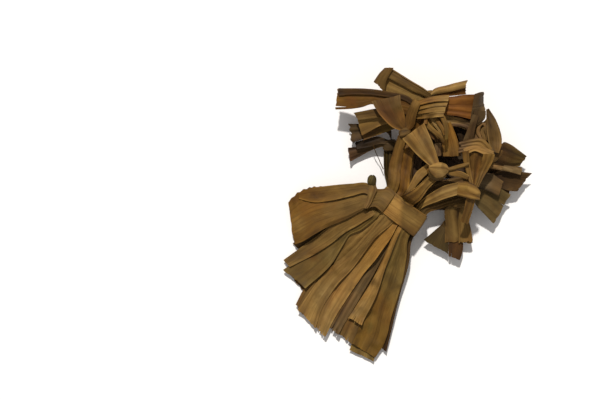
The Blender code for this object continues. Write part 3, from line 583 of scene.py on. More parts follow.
# The leaf with the large knot in front
leaf(
    "front_leaf", "tan",
    Flap([(-7, 14, 17), (-6, 28, 20), (-4, 44, 24)], [(2, 14, 17), (5, 28, 20), (6, 42, 24)], tint="shade",
         folds=3, crease=0.4, steep=STEEPEST_STALK),
    Flap([(-6, 12, 20), (-7, 24, 23), (-8, 35, 27), (-5, 46, 31)],
         [(-2, 16, 20), (-2, 25, 24), (-1, 34, 28), (1, 45, 32)],
         tint="bright", folds=1, deep=0.5, curl=0, ragged=0, steep=STEEPEST_STALK),
    raised_stalk([(-4, 0, 21), (-7, 12, 22), (-3, 21, 26), (0, 29, 29), (2, 41, 33)],
                 [(7, 0, 21), (6, 12, 22), (8, 20, 25), (8, 29, 29), (10, 42, 33)],
                 tint="gold", end_tint="light", deep=0.8),
    strip((10, 51, 31, 4), (16, 52, 31, 4.6), (23, 55, 30, 4.6), (29, 56, 29, 3.6), tint="light", crease=0.5,
          arch=0.9, ragged=0.4),
    strip((12, 52, 32, 3), (16, 57, 32, 3.4), (20, 62, 31, 3.2), (23, 66, 30, 2.4), tint="light", folds=1,
          arch=0.8, ragged=0.6),
    Knot(4, 46, 34, 14, 9, 6, 26, start=-0.5, slant=0.25, blunt=(4.0, 2.6), under=1.0, tint="gold"),
    Flap([(1, 45, 35), (-7, 46, 36), (-18, 47.5, 37), (-34, 51, 38)],
         [(4, 51, 35), (-2, 56, 36), (-12, 63, 37), (-27, 72, 38)],
         tint="bright", crease=1.1, deep=1.6, flat=28, curl=0.2, ragged=0.4,
         spots=((-16, 64, 8, "pale"), (-24, 50, 8, "gold"), (-10, 47, 4, "gold"))),
    Flap([(-2, 43, 33.5), (4, 43, 34.4), (9, 44.5, 34.2), (13, 48, 33)],
         [(1, 39, 32), (5.5, 37.6, 32), (10, 39.6, 32), (14, 45.5, 32)],
         folds=1, crease=0.3, arch=0.6, curl=-0.4, ragged=0.2, steep=1.2),
    Flap([(-3, 45, 34.6), (-0.5, 49.5, 35), (3, 53, 35), (8, 54.6, 34.8), (12, 53, 34.4)],
         [(-2, 43, 34.2), (2, 41, 34.2), (6.5, 40.6, 34.4), (10.6, 43.6, 34.4), (13, 50, 34.2)],
         tint="bright", end_tint="pale", crease=0.9, deep=1.2, crumple=0.5, arch=0.6, curl=-0.3, ragged=0,
         steep=1.2, spots=((3, 42, 4, "gold"), (9, 51, 3, "plain"))),
)
# The skirt's top layer
leaf(
    "skirt_leaf_11", "tan",
    Flap([(5, 0, 22), (5.8, -11, 22), (11.8, -40, 10.5), (14.9, -58.6, 6.5), (15.9, -72, 5.5),
          (16.8, -97, 4.5)],
         [(9, 0, 22), (9.4, -10, 22), (15.2, -34.6, 12.5), (18.6, -47, 9.5), (25.2, -69, 6.5),
          (29.2, -95, 4.5)],
         tint="fresh", end_tint="bright", folds=1, crease=0.3, lifts=(0, 1.2), hems=(0, 1.2), curl=2.6,
         ragged=0.8, slits=((-0.2, 6), (0.4, 4)), spots=((16, -60, 5, "shade"), (20, -84, 7, "pale"))),
)
leaf(
    "skirt_leaf_12", "golden",
    Flap([(-2, 0, 22), (-2, -9, 22), (-7, -30, 12.5), (-8, -57, 5.5), (-9, -80, 3.5), (-8, -97, 3),
          (-2, -119, 3)],
         [(5, 0, 22), (4.7, -8, 22), (6.6, -23, 15.5), (6.9, -43, 8.5), (6.2, -59, 5.5), (7, -95, 3),
          (10, -121, 3)],
         tint="fresh", end_tint="pale", crease=0.35, deep=0.4, curl=1.0, slits=((-0.3, 6), (0.5, 4))),
)
leaf(
    "skirt_leaf_13", "tan",
    Flap([(-15, 0, 21), (-15, -12, 21), (-22, -36, 10.5), (-26, -55, 6.5), (-28, -75, 4.5), (-28, -95, 3),
          (-26, -113, 4)],
         [(-8, 0, 21), (-8, -12, 21), (-9, -36, 10.5), (-11, -55, 6.5), (-15, -75, 4.5), (-17, -95, 3),
          (-16, -117, 4)],
         folds=1, crease=0.3, deep=0.4, ragged=0.6),
    Flap([(-14, -4, 20), (-17, -20, 15.5), (-26, -38, 11.5), (-28, -52, 8.5), (-24, -66, 6.5)],
         [(-9, -4, 20), (-9, -20, 15.5), (-9, -40, 11.5), (-11, -52, 8.5), (-15, -66, 6.5)],
         tint="bright", end_tint="light", folds=3, crease=0.4, crumple=0.4, curl=0, ragged=0.6),
    Flap([(-11.5, 0, 22), (-11.5, -18, 20), (-12.7, -36, 11.5), (-15.4, -53, 7.5), (-19.6, -68, 5.5),
          (-22.3, -94, 3.5), (-22, -115, 4)],
         [(0, 0, 22), (0.4, -8, 22), (-4, -30, 14.5), (-3.9, -57, 7.5), (-6.9, -80, 4.5), (-6.4, -97, 3),
          (-1, -120, 3)],
         tint="bright", crease=0.35, deep=0.4, curl=1.0, spots=((-10, -88, 10, "pale"),)),
)
leaf(
    "skirt_leaf_14", "olive",
    Flap([(-19, 0, 20), (-19.5, -9, 20), (-24, -24, 14.5), (-30, -38, 9.5), (-36, -56, 5.5), (-43, -73, 3.5),
          (-51.6, -95, 4)],
         [(-13, 0, 21), (-13, -9, 21), (-17, -28, 14.5), (-23, -40, 10.5), (-22, -52, 8.5), (-21, -66, 6.5),
          (-27, -97, 3)],
         tint="light", end_tint="plain", folds=1, crease=0.3, deep=0.4, lifts=(0, 1.6), hems=(0, 1.2),
         curl=1.2, spots=((-27, -42, 6, "grey"), (-37, -72, 6, "umber"), (-28, -60, 6, "pale"))),
)
leaf(
    "skirt_leaf_15", "tan",
    Flap([(-19, 0, 22), (-20, -7, 22), (-27, -14, 20), (-32, -24, 14.5), (-40, -41, 9.5), (-46, -59, 5.5),
          (-56, -88, 3)],
         [(-15, 0, 22), (-15.5, -9, 22), (-21, -25, 15.5), (-26.6, -37.5, 10.5), (-32.3, -56.4, 6.5),
          (-39.6, -73.3, 4.5), (-48.5, -90, 3)],
         tint="light", end_tint="plain", folds=1, crease=0.3, deep=0.4, ragged=0.4),
)

# The band's own leaf outside the turns round the neck
TAIL = [
    Flap([(-12, 11.5, 25), (-17, 12.5, 24.5), (-26, 6.5, 23), (-37, 4, 21), (-46, -3, 17), (-64, -18, 12),
          (-73, -26, 10), (-79, -36, 8), (-81, -46, 6)],
         [(-12, -7.5, 24), (-19, -7, 24), (-24, -11.5, 22), (-27, -17, 20), (-32, -28, 17), (-40, -41, 14),
          (-47, -54, 12), (-52, -66, 9), (-56, -72, 7)],
         end_tint="gold", folds=1, crease=0.3, wave=0.8, hems=(0, 1.6), pucker=1.2, curl=-1.5,
         spots=((-76, -40, 9, "umber"), (-45, -30, 9, "light"), (-38, -18, 8, "shade"),
                (-62, -56, 10, "light"))),
    Flap([(-27, 6, 24), (-36, 5.2, 23), (-46, -2.2, 20), (-64, -17.4, 14), (-72.6, -25.6, 11),
          (-77.5, -34, 9)],
         [(-26, -2, 24), (-32, -2.5, 23), (-40, -10.5, 20), (-52, -23.5, 16), (-63, -33, 12), (-75, -38, 9)],
         tint="light", end_tint="gold", folds=1, crease=0.1, wave=0.1, curl=-0.6, ragged=0.2,
         spots=((-70, -30, 7, "gold"),)),
    Flap([(-27, -14, 22), (-28, -9, 23), (-30, -3, 24), (-33, 3, 24), (-37, 8, 24), (-37, 11, 24)],
         [(-24, -12, 22), (-24, -8, 23), (-25, -1, 24), (-26, 5, 25), (-29, 8, 25), (-31, 11.5, 24)],
         tint="light", end_tint="grey", crease=0.7, arch=1.0, curl=0, ragged=0.3,
         spots=((-29, 3, 4, "umber"), (-27, -8, 4, "pink"))),
]
TAIL_KNOB = Knot(-34, 9, 24, 9, 7.5, 8, 120, tint="moss", blunt=(2.2, 2.6))

# The band's edges: how far along y they are at shares of the way round, from under the bundle on
BAND_LOW = ((0, -9), (0.25, -9), (0.38, -7.5), (0.5, -7.5), (0.62, -7.0), (0.75, -9), (1, -9))
BAND_HIGH = ((0, 11), (0.25, 11.5), (0.4, 11), (0.5, 12), (0.59, 12.5), (0.64, 10.5), (0.75, 7), (1, 11))
WRAP_LOW = ((0, -10), (0.25, -9), (0.38, -8.3), (0.5, -7.6), (0.7, -6.4), (1, -10))
WRAP_HIGH = ((0, 10), (0.25, 10), (0.38, 9.5), (0.45, 9.6), (0.5, 10.8), (0.7, 11), (1, 10))
ALL_ROUND = (0, 1)
WRAP_SPAN = (0.585, 0.02)  # the outer turn starts at the first share and ends, tucked in, at the last
WRAP_LEAN = -0.01  # how much later its start is at the head's side
BAND_INSET, WRAP_INSET = 1.25, 0.5  # how far inside the outline of the neck each turn lies
BAND_TURNS_AWAY = 0.425  # the share from which the band bends down at its right, away from the sun, and gets its painted shade
BAND_ASKEW = 0.005  # and how that share grows per millimetre along y
BAND_SHIFT = 20  # how sharply its painted shade sets in there
BAND_POINTS, BAND_ROWS, BAND_COLUMNS = 240, 150, 34  # round the neck, round a turn and across it
BAND_FOLD, BAND_RIPPLE, BAND_TUCK = 0.28, 0.2, 0.7
BAND_SWAY = 0.15  # how far its folds run from side to side
TUCK_RATE = 12  # how soon a turn comes out from under the last


# Random lines


def wander(rng, at, period):
    """A random line from -1 to 1 that turns about once a period."""
    low, high = at.min(), at.max()
    count = max(3, int((high - low) / period) + 2)
    marks = np.linspace(low, high + 1e-9, count)
    values = rng.uniform(-1, 1, (count, 1))
    return smooth(marks, values, np.clip(at, low, high))[:, 0]


def patchy(rng, along, along_period, across, across_period):
    """Random heights from -1 to 1 over a sheet, which turn about once a period each way."""
    return np.outer(wander(rng, along, along_period), wander(rng, across, across_period))


def pattern_start(rng):
    """Where on the endless pattern of veins a surface starts."""
    return rng.uniform(0, PATTERN_SPREAD)


def ease(t):
    """From 0 to 1 without a corner at either end."""
    t = np.clip(t, 0, 1)
    return t * t * (3 - 2 * t)


# The heights that flaps are let down on


def shares_of(count):
    """Points spread over a triangle, as shares of its three corners."""
    steps = range(count + 1)
    return np.array([(i, j, count - i - j) for i in steps for j in steps if i + j <= count]) / count


def points_on(name):
    """Points spread over the faces of a solid, closer together than the field's cells."""
    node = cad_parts[name]
    mesh = node.data
    mesh.calc_loop_triangles()
    places = np.empty(3 * len(mesh.vertices), np.float32)
    mesh.vertices.foreach_get("co", places)
    corners = np.empty(3 * len(mesh.loop_triangles), np.int32)
    mesh.loop_triangles.foreach_get("vertices", corners)
    world = np.array(node.matrix_world)
    places = (places.reshape(-1, 3) @ world[:3, :3].T + world[:3, 3]) / MM
    triangles = places[corners.reshape(-1, 3)]
    return np.einsum("sk,tkc->tsc", shares_of(SOLID_SAMPLES), triangles).reshape(-1, 3)


def cells_of(points):
    """The field's cell under each point."""
    i = ((points[:, 0] - FIELD_LOW[0]) / CELL).astype(int)
    j = ((points[:, 1] - FIELD_LOW[1]) / CELL).astype(int)
    return i, j


def raise_field(field, points, by=0.0):
    """Brings the field up to these points."""
    np.maximum.at(field, cells_of(points), points[:, 2] + by)


def widened(field):
    """Each cell as high as the highest of its neighbours."""
    padded = np.pad(field, 1, mode="edge")
    n, m = field.shape
    return np.max([padded[i : i + n, j : j + m] for i in range(3) for j in range(3)], axis=0)


def eased(grid, steepest):
    """Raises points beside a raised one, so that the sheet slopes no more than a dry leaf would."""
    for axis in (0, 1):
        turned = np.moveaxis(grid, axis, 0)
        count = len(turned)
        for order in (range(1, count), range(count - 2, -1, -1)):
            for here in order:
                last = here - 1 if order.step == 1 else here + 1
                gap = np.linalg.norm(turned[here][:, :2] - turned[last][:, :2], axis=1)
                turned[here][:, 2] = np.maximum(turned[here][:, 2], turned[last][:, 2] - steepest * gap)


def let_down(grid, wall, field, steepest):
    """Lifts a grid's points until a sheet of this thickness clears the field everywhere."""
    rows, across = grid.shape[:2]
    corner = np.arange(rows * across).reshape(rows, across)
    a, b, c, d = corner[:-1, :-1], corner[1:, :-1], corner[1:, 1:], corner[:-1, 1:]
    triangles = np.concatenate([np.stack(half, axis=-1).reshape(-1, 3) for half in ((a, b, c), (a, c, d))])
    spread = shares_of(SAMPLES)
    corners = np.repeat(triangles, len(spread), axis=0)
    shares = np.tile(spread, (len(triangles), 1))
    points = grid.reshape(-1, 3)
    half = np.repeat(wall, across) / 2
    at = np.einsum("sk,skc->sc", shares, points[corners][:, :, :2])
    under = widened(field)
    wanted = under[cells_of(at)] + APART + (shares * half[corners]).sum(1)
    for turn in range(EASING_TURNS):
        lacking = wanted - (shares * points[corners][:, :, 2]).sum(1)
        short = lacking > TOUCHING
        if not short.any():
            break
        share = np.ones_like(shares[short]) if turn == EASING_TURNS - 1 else shares[short] / 2
        lift = np.zeros(len(points))
        np.maximum.at(lift, corners[short].ravel(), (lacking[short, None] * share).ravel())
        points[:, 2] += lift
    eased(grid, steepest)


# The detail of one flap


class Surface:
    """A grid of points with what its material reads: where it is on the leaf, how it is worn, and how high
    it lies in its pleats, which the material paints as shade and highlight.
    """

    def __init__(self, points, uv, tint, fold_shading, edge, back, kept=None):
        rows, columns = points.shape[:2]
        self.points = points
        self.uv = uv
        self.tint = np.broadcast_to(np.array(tint, float), (rows, columns, 3))
        self.fold_shading = np.broadcast_to(fold_shading, (rows, columns))
        self.edge = np.broadcast_to(edge, (rows, columns))
        self.back = np.broadcast_to(back, (rows, columns))
        self.kept = np.ones((rows - 1, columns - 1), bool) if kept is None else kept


def fold_line(rng, folds):
    """A zigzag of uneven pleats across a flap: where its folds are, and how high each is."""
    gaps = rng.uniform(0.25, 1.75, 2 * folds)
    marks = np.concatenate([[0], np.cumsum(gaps)])
    marks = 2 * marks / marks[-1] - 1
    heights = 0.5 * (-1.0) ** (np.arange(len(marks)) + rng.integers(2)) * rng.uniform(0.35, 1, len(marks))
    return marks, heights


def places_across(flap, half):
    """Places across a flap, from -1 to 1 and on over its folded hems, with close pairs at its slits."""
    count = max(6, round(2 * half / FINE_ACROSS))
    step = 2 / count
    places = list(np.linspace(-1, 1, count + 1))
    for sign, hem in zip((-1, 1), flap.hems):
        extra = np.arange(1, round(hem / half / step) + 1) * step
        extra = np.concatenate([[row * step for row in HEM_ROWS], extra]) if hem else extra
        places += list(sign * (1 + extra))
    tears = []
    for place, _ in flap.slits:
        nearest = min(places, key=lambda value: abs(value - place))
        places.remove(nearest)
        places += [nearest - SLIT_ROWS * step, nearest + SLIT_ROWS * step]
        tears.append(nearest)
    return np.sort(np.array(places)), tears


def end_shape(rng, places, ragged):
    """How far each place across a torn end sticks out past the mean, in millimetres."""
    broad = BROAD_TEAR * wander(rng, places, period=0.9)
    fine = FINE_TEAR * wander(rng, places, period=0.16)
    teeth = TOOTH * np.abs(wander(rng, places, period=0.35)) ** 3
    return ragged * (broad + fine - teeth)


def tint_of(flap, px, py, share, rng):
    """The tint of each point: from the flap's own to the one at its end, with its stains."""
    first, last = (np.array(TINTS[name]) for name in (flap.tint, flap.end_tint))
    uneven = TINT_UNEVEN * wander(rng, px[0], period=4)[None, :]
    shift = ease(share * LOOSE_RATE - TINT_LAG + uneven)[:, :, None]
    tint = first + shift * (last - first)
    rows, columns = (np.arange(count) for count in px.shape)
    for x, y, radius, name in flap.spots:
        away = np.hypot(px - x, py - y) / radius
        uneven = wander(rng, rows, period=5)[:, None] + wander(rng, columns, period=3)[None, :]
        weight = STAIN_STRENGTH * ease(STAIN_SIZE - away + STAIN_UNEVEN * uneven)[:, :, None]
        tint = tint + weight * (np.array(TINTS[name]) - tint)
    return tint


def detailed(flap, field, rng):
    """The flap as it looks, lying on the field."""
    lengths = [distances(edge[:, :2]) for edge in (flap.first, flap.second)]
    length = (lengths[0][-1] + lengths[1][-1]) / 2

    def edges_at(at):
        """Its two edges at these lengths from its root."""
        edges = zip(lengths, (flap.first, flap.second))
        return [smooth(along / along[-1], edge, at / length) for along, edge in edges]

    coarse_at = np.linspace(0, length, max(3, round(length / ROW_LENGTH) + 1))
    first, second = edges_at(coarse_at)
    width = np.linalg.norm((second - first)[:, :2], axis=1)
    flat = flap.flat or SPARE_WIDTH * width.max()
    across = max(3, round(width.max() / COLUMN_WIDTH) + 1)
    coarse_side = np.linspace(-1, 1, across)
    grid = first[:, None, :] + (second - first)[:, None, :] * (coarse_side[None, :, None] + 1) / 2

    def amplitude_of(width):
        """How deep the pleats are: a gathered leaf keeps its length across."""
        flat_pleat, pleat = flat / (2 * flap.folds), np.minimum(width, flat) / (2 * flap.folds)
        return np.clip(np.sqrt(flat_pleat**2 - pleat**2), flap.crease, max(flap.deep, flap.crease))

    let_down(grid, SHEET + amplitude_of(width), field, flap.steep)

    at = np.linspace(0, length, max(8, round(length / FINE_ALONG) + 1))
    first, second = edges_at(at)
    middle, half = (first + second) / 2, (second - first) / 2
    half_width = np.linalg.norm(half[:, :2], axis=1)
    heading = np.stack([half[:, 1], -half[:, 0]], axis=1) / np.maximum(half_width, 1e-6)[:, None]
    heading *= np.sign((heading * np.gradient(middle[:, :2], axis=0)).sum(1).sum())
    places, tears = places_across(flap, half_width.max())
    folded = np.abs(places) > 1
    over = np.maximum(np.abs(places) - 1, 0)
    share = (at / length)[:, None]

    # Its sides: hems as wide as they were folded, give or take, and edges that aren't ruled
    uneven = 1 + HEM_UNEVEN * np.outer(wander(rng, at, HEM_PERIOD), np.ones(len(places)))
    side = np.sign(places) * np.where(folded, 1 - over * uneven, np.abs(places))
    second_waver, first_waver = (SIDE_UNEVEN * wander(rng, at, SIDE_PERIOD)[:, None] for _ in range(2))
    reach = side * (1 + np.where(side > 0, second_waver, first_waver))
    at_first = ease(-side)
    wrinkles = np.sin(at[:, None] * WRINKLE_RATE + WRINKLE_DRIFT * wander(rng, at, WRINKLE_PERIOD)[:, None])
    bend = ease((share - PUCKER_START) * PUCKER_RATE)
    reach = reach + flap.pucker * bend * at_first * PUCKER_REACH * (wrinkles - 1)

    # Its end: torn, slit and curled
    tail = ease((at - length + END_RAMP) / END_RAMP)[:, None]
    ahead = tail * end_shape(rng, places, flap.ragged)
    apart = np.zeros_like(side)
    lifted = np.zeros_like(side)
    kept = np.ones((len(at) - 1, len(places) - 1), bool)
    for tear, (_, slit) in zip(tears, flap.slits):
        open_by = np.clip((at - length + slit) / slit, 0, 1)[:, None]
        beyond = (places > tear)[None, :]
        fading = np.exp(-np.abs(places - tear) * SLIT_FADES)
        apart += open_by * np.where(beyond, SLIT_OPENS, -SLIT_OPENS) * slit * fading
        lifted += open_by**2 * np.where(beyond, SLIT_LIFTS, 0.0) * slit
        kept[(at[:-1] > length - slit), np.searchsorted(places, tear) - 1] = False
    reach = reach + apart / half_width.max()
    px = middle[:, :1] + reach * half[:, :1] + ahead * heading[:, :1]
    py = middle[:, 1:2] + reach * half[:, 1:2] + ahead * heading[:, 1:2]

    # The height that it was let down to
    levels = smooth(coarse_at, grid[:, :, 2], at)
    rows = np.arange(len(at))[:, None]
    place = (np.clip(side, -1, 1) + 1) / 2 * (across - 1)
    left = np.minimum(place.astype(int), across - 2)
    pz = levels[rows, left] + (place - left) * (levels[rows, left + 1] - levels[rows, left])

    # Pleats
    amplitude = amplitude_of(2 * half_width)[:, None]
    marks, heights = fold_line(rng, flap.folds)
    drift = FOLD_DRIFT * wander(rng, at, FOLD_PERIOD)
    zigzag = np.array([np.interp(side[r] + drift[r], marks, heights) for r in range(len(at))])
    pz = pz + amplitude * zigzag * np.where(folded, HEM_PLEATS, 1.0)

    # Loose parts are less flat than what is held.
    loose = ease(share * LOOSE_RATE - LOOSE_LAG)
    ripple = patchy(rng, at, 9, places, 0.7) + 0.6 * np.outer(wander(rng, at, period=17), places)
    pz = pz + flap.wave * loose * np.abs(ripple)
    facets = patchy(rng, at, 3.5, places, 0.45) + patchy(rng, at, 5, places, 0.3)
    pz = pz + flap.crumple * (1 + facets)
    pz = pz + flap.pucker * bend * at_first * PUCKER_RISE * (1 + wrinkles)
    pz = pz + flap.arch * np.sqrt(np.clip(1 - side**2, 0, 1))
    pz = pz + flap.curl * tail**2 * (CURL_MEAN + CURL_UNEVEN * wander(rng, places, period=0.8))
    cup = flap.cup * (side**2 if flap.cup > 0 else side**2 - 1)
    pz = pz + cup * loose
    pz = pz + np.where(side < 0, flap.lifts[0], flap.lifts[1]) * loose * np.abs(side) ** EDGE_POWER
    swell = HEM_LOOSE * (1 + wander(rng, at, period=8)[:, None]) * np.clip(over * 3, 0, 1)
    pz = pz + folded * (HEM_RISE + swell) + lifted
    points = np.dstack([px, py, np.clip(pz, LOWEST, HIGHEST)])

    u = places[None, :] * half_width.max() + pattern_start(rng)
    v = at[:, None] + ahead + pattern_start(rng)
    uv = np.dstack(np.broadcast_arrays(u, v))
    to_side = (1 - np.abs(side)) * half_width[:, None]
    to_end = np.maximum(length - at, 0)[:, None]
    edge = np.maximum(np.exp(-to_side / SIDE_RIM) * ~folded[None, :], np.exp(-to_end / END_RIM))
    # How high each point lies in its pleats: the material paints shade in the hollows and a highlight on the
    # ridges
    fold_shading = 0.5 + zigzag * np.clip(amplitude, 0.15, 1)
    back = np.where(folded, 1 - flap.back, flap.back)
    return Surface(points, uv, tint_of(flap, px, py, share, rng), fold_shading, edge, back, kept)


# Knots


def wound(knot, rng):
    """Leaf wound round itself in flat turns, each over the edge of the last."""
    length, width, height = knot.size / 2
    cos, sin = math.cos(knot.heading), math.sin(knot.heading)
    run = np.linspace(-1, 1, 3 * max(8, round(length)))[:, None]
    gap = 2 * math.pi / knot.turns
    power = np.where(run < 0, knot.blunt[0], knot.blunt[1])
    close = np.maximum(np.maximum(1 - np.abs(run) ** power, 0) ** (1 / power), KNOT_END)
    surfaces = []
    for turn in range(knot.turns):
        share = np.linspace(0, 1, round(gap * (width + height) / 2 / FINE_ACROSS) + 6)[None, :]
        angle = knot.start + turn * gap + share * (gap + KNOT_OVERLAP) + knot.slant * run
        marks, heights = fold_line(rng, folds=2)
        zigzag = np.interp(2 * share - 1, marks, heights)
        uneven = np.outer(wander(rng, run[:, 0], period=0.5), share)
        radius = KNOT_INNER + KNOT_OUTER * share + KNOT_FOLD * zigzag + KNOT_UNEVEN * uneven
        bulge = np.abs(np.cos(angle)) ** KNOT_POWER + np.abs(np.sin(angle)) ** KNOT_POWER
        flatness = bulge ** (-1 / KNOT_POWER)
        a = run * length * (1 - KNOT_SWAY * np.sin(angle * 2))
        b = radius * flatness * close * width * np.cos(angle)
        c = radius * flatness * close * height * np.sin(angle)
        x = a * cos - b * sin + knot.middle[0]
        y = a * sin + b * cos + knot.middle[1]
        z = np.clip(c + knot.middle[2], LOWEST, HIGHEST)
        u = share * gap * width + pattern_start(rng)
        v = run * length + pattern_start(rng)
        edge = np.exp(-(1 - share) * gap * width / KNOT_RIM)
        points, uv = (np.dstack(np.broadcast_arrays(*rows)) for rows in ((x, y, z), (u, v)))
        # The turns' pleats get painted shade and highlight from the material too
        surfaces.append(Surface(points, uv, TINTS[knot.tint], 0.5 + zigzag, edge, 0.0))
    return surfaces


def find_height(knot, solid):
    """Puts a knot's middle where its solid has it."""
    near = np.hypot(*(solid[:, :2] - knot.middle[:2]).T) < KNOT_NEAR
    knot.middle[2] = solid[near, 2].max() - SINK - knot.under - knot.size[2] / 2


def join(flap, knots):
    """Brings the points of a flap that meet a knot to that knot's height."""
    for edge in (flap.first, flap.second):
        for point in edge:
            for knot in knots:
                if math.dist(point[:2], knot.middle[:2]) < knot.size[:2].max() / 2:
                    point[2] += knot.middle[2] - knot.drawn


def laid(items, solid, field, rng):
    """The surfaces of one leaf, laid on the field in their order."""
    knots = [item for item in items if isinstance(item, Knot)]
    for knot in knots:
        find_height(knot, solid)
    surfaces = []
    for item in items:
        if isinstance(item, Knot):
            made = wound(item, rng)
        else:
            join(item, knots)
            made = [detailed(item, field, rng)]
        for surface in made:
            between_rows = (surface.points[1:] + surface.points[:-1]) / 2
            for points in (surface.points, between_rows):
                raise_field(field, points.reshape(-1, 3), SHEET / 2)
        surfaces += made
    return surfaces


# The band


def outline_round(points, gap):
    """A many-sided outline that stays this far outside all of the points, as (x, z)."""
    turn = np.radians(np.arange(BAND_FACETS) * 360 / BAND_FACETS - 90)
    normals = np.stack([np.cos(turn), np.sin(turn)], axis=1)
    reach = (points @ normals.T).max(0) + gap
    corners = []
    for k in range(BAND_FACETS):
        pair = [k, (k + 1) % BAND_FACETS]
        corners.append(np.linalg.solve(normals[pair], reach[pair]))
    return np.array(corners)


def round_loop(outline, count):
    """The outline as an even, rounded loop of points, starting and ending under the bundle."""
    closed = np.concatenate([outline, outline[:1]])
    at = distances(closed)
    even = np.linspace(0, at[-1], count, endpoint=False)
    loop = np.stack([np.interp(even, at, closed[:, k]) for k in (0, 1)], axis=1)
    for _ in range(3):
        loop = (np.roll(loop, 1, axis=0) + 2 * loop + np.roll(loop, -1, axis=0)) / 4
    return np.concatenate([loop, loop[:1]])


def level_of(outline, upper):
    """The height of the outline's upper or lower side, as marks to interpolate between."""
    middle = outline[:, 1].mean()
    part = outline[outline[:, 1] > middle] if upper else outline[outline[:, 1] <= middle]
    return part[np.argsort(part[:, 0])].T


def band_turn(outline, rng, inset, low, high, span, lean, tint, shaded_side_tint, folds):
    """A turn of the band round the neck: its edges' y at shares of the way round, and the span it covers."""
    loop = round_loop(outline, BAND_POINTS)
    around = distances(loop)
    middle = loop.mean(0)
    outward = np.stack([np.gradient(loop[:, 1]), -np.gradient(loop[:, 0])], axis=1)
    outward /= np.linalg.norm(outward, axis=1, keepdims=True)
    outward *= np.sign(((loop - middle) * outward).sum(1, keepdims=True))
    rows = np.linspace(0, 1, round(abs(span[1] - span[0]) * BAND_ROWS))[:, None]
    across = np.linspace(0, 1, BAND_COLUMNS)[None, :]
    share = span[0] + (span[1] - span[0]) * rows + lean * across * (1 - rows)
    low_edge, high_edge = (np.interp(share, *zip(*edge)) for edge in (low, high))
    y = low_edge + (high_edge - low_edge) * across
    marks, heights = fold_line(rng, folds)
    zigzag = np.interp(2 * across - 1 + BAND_SWAY * np.sin(2 * math.pi * share), marks, heights)
    ripple = patchy(rng, rows[:, 0], 0.09, across[0], 0.5)
    tucked = BAND_TUCK * ease(1 - rows * TUCK_RATE)
    offset = -inset - tucked + BAND_FOLD * zigzag + BAND_RIPPLE * ripple * np.sin(math.pi * rows)
    place = share * around[-1]
    x, out_x, z, out_z = (
        np.interp(place, around, line) for line in (loop[:, 0], outward[:, 0], loop[:, 1], outward[:, 1])
    )
    points = np.dstack([x + out_x * offset, y, np.maximum(z + out_z * offset, LOWEST)])
    uv = np.dstack([y + pattern_start(rng), place + pattern_start(rng)])
    to_side = np.minimum(across, 1 - across) * (high_edge - low_edge)
    edge = np.maximum(np.exp(-to_side / BAND_RIM), np.exp(-rows * abs(span[1] - span[0]) * around[-1]))
    # Painted shade: the band's right side, which bends away from the sun, takes the darker side tint
    shaded_side = ease((BAND_TURNS_AWAY + BAND_ASKEW * y - share) * BAND_SHIFT)[:, :, None]
    colour = np.array(TINTS[tint]) + shaded_side * (np.array(TINTS[shaded_side_tint]) - np.array(TINTS[tint]))
    # The band's pleats get painted shade and highlight from the material too
    return Surface(points, uv, colour, 0.5 + 0.5 * zigzag, edge, 0.0)


# Materials

# Albedo of each slot: in its hollows, with painted shade; over most of it; and on its ridges, with a painted
# highlight
PALETTES = {
    "tan": ((0.036, 0.017, 0.004), (0.105, 0.056, 0.0125), (0.186, 0.108, 0.028)),
    "golden": ((0.038, 0.017, 0.004), (0.108, 0.055, 0.011), (0.187, 0.105, 0.024)),
    "brown": ((0.025, 0.012, 0.003), (0.076, 0.040, 0.010), (0.140, 0.079, 0.024)),
    "dark": ((0.017, 0.009, 0.003), (0.051, 0.028, 0.008), (0.096, 0.056, 0.019)),
    "olive": ((0.031, 0.017, 0.004), (0.096, 0.056, 0.012), (0.170, 0.104, 0.027)),
}


class Nodes:
    """Short calls for building one material."""

    def __init__(self, name):
        self.material = bpy.data.materials.new(name)
        self.material.use_nodes = True
        self.tree = self.material.node_tree
        self.shader = self.tree.nodes["Principled BSDF"]

    def add(self, kind, inputs=(), **settings):
        """A new node with its settings and inputs."""
        node = self.tree.nodes.new(kind)
        for name, value in settings.items():
            setattr(node, name, value)
        for name, value in dict(inputs).items():
            self.feed(node.inputs[name], value)
        return node

    def feed(self, socket, value):
        """Gives a socket a value or links it to an output."""
        if isinstance(value, bpy.types.NodeSocket):
            self.tree.links.new(value, socket)
        else:
            socket.default_value = value

    def math(self, operation, a, b=0.0):
        """A sum or the like of two numbers."""
        node = self.add("ShaderNodeMath", operation=operation)
        self.feed(node.inputs[0], a)
        self.feed(node.inputs[1], b)
        return node.outputs[0]

    def sum(self, weighted):
        """The sum of values, each times its weight."""
        total = 0.0
        for value, weight in weighted:
            total = self.math("ADD", total, self.math("MULTIPLY", value, weight))
        return total

    def mix(self, share, a, b, blend="MIX"):
        """The colour a with its share of b."""
        node = self.add("ShaderNodeMix", data_type="RGBA", blend_type=blend)
        self.feed(node.inputs["Factor"], share)
        self.feed(node.inputs["A"], a)
        self.feed(node.inputs["B"], b)
        return node.outputs["Result"]

    def between(self, value, low, high, out_low=0.0, out_high=1.0):
        """Where a value is between low and high, as a number between the other two."""
        node = self.add(
            "ShaderNodeMapRange",
            {"Value": value, "From Min": low, "From Max": high, "To Min": out_low, "To Max": out_high},
        )
        return node.outputs["Result"]

    def noise(self, place, scale, detail=3.0, roughness=0.55, distortion=0.0):
        """Noise with a cell of 1/scale millimetres across and along the leaf."""
        mapping = self.add("ShaderNodeMapping", {"Vector": place, "Scale": (*scale, 1)})
        node = self.add(
            "ShaderNodeTexNoise",
            {
                "Vector": mapping.outputs["Vector"], "Scale": 1.0, "Detail": detail,
                "Roughness": roughness, "Distortion": distortion,
            },
        )
        return node.outputs["Fac"]


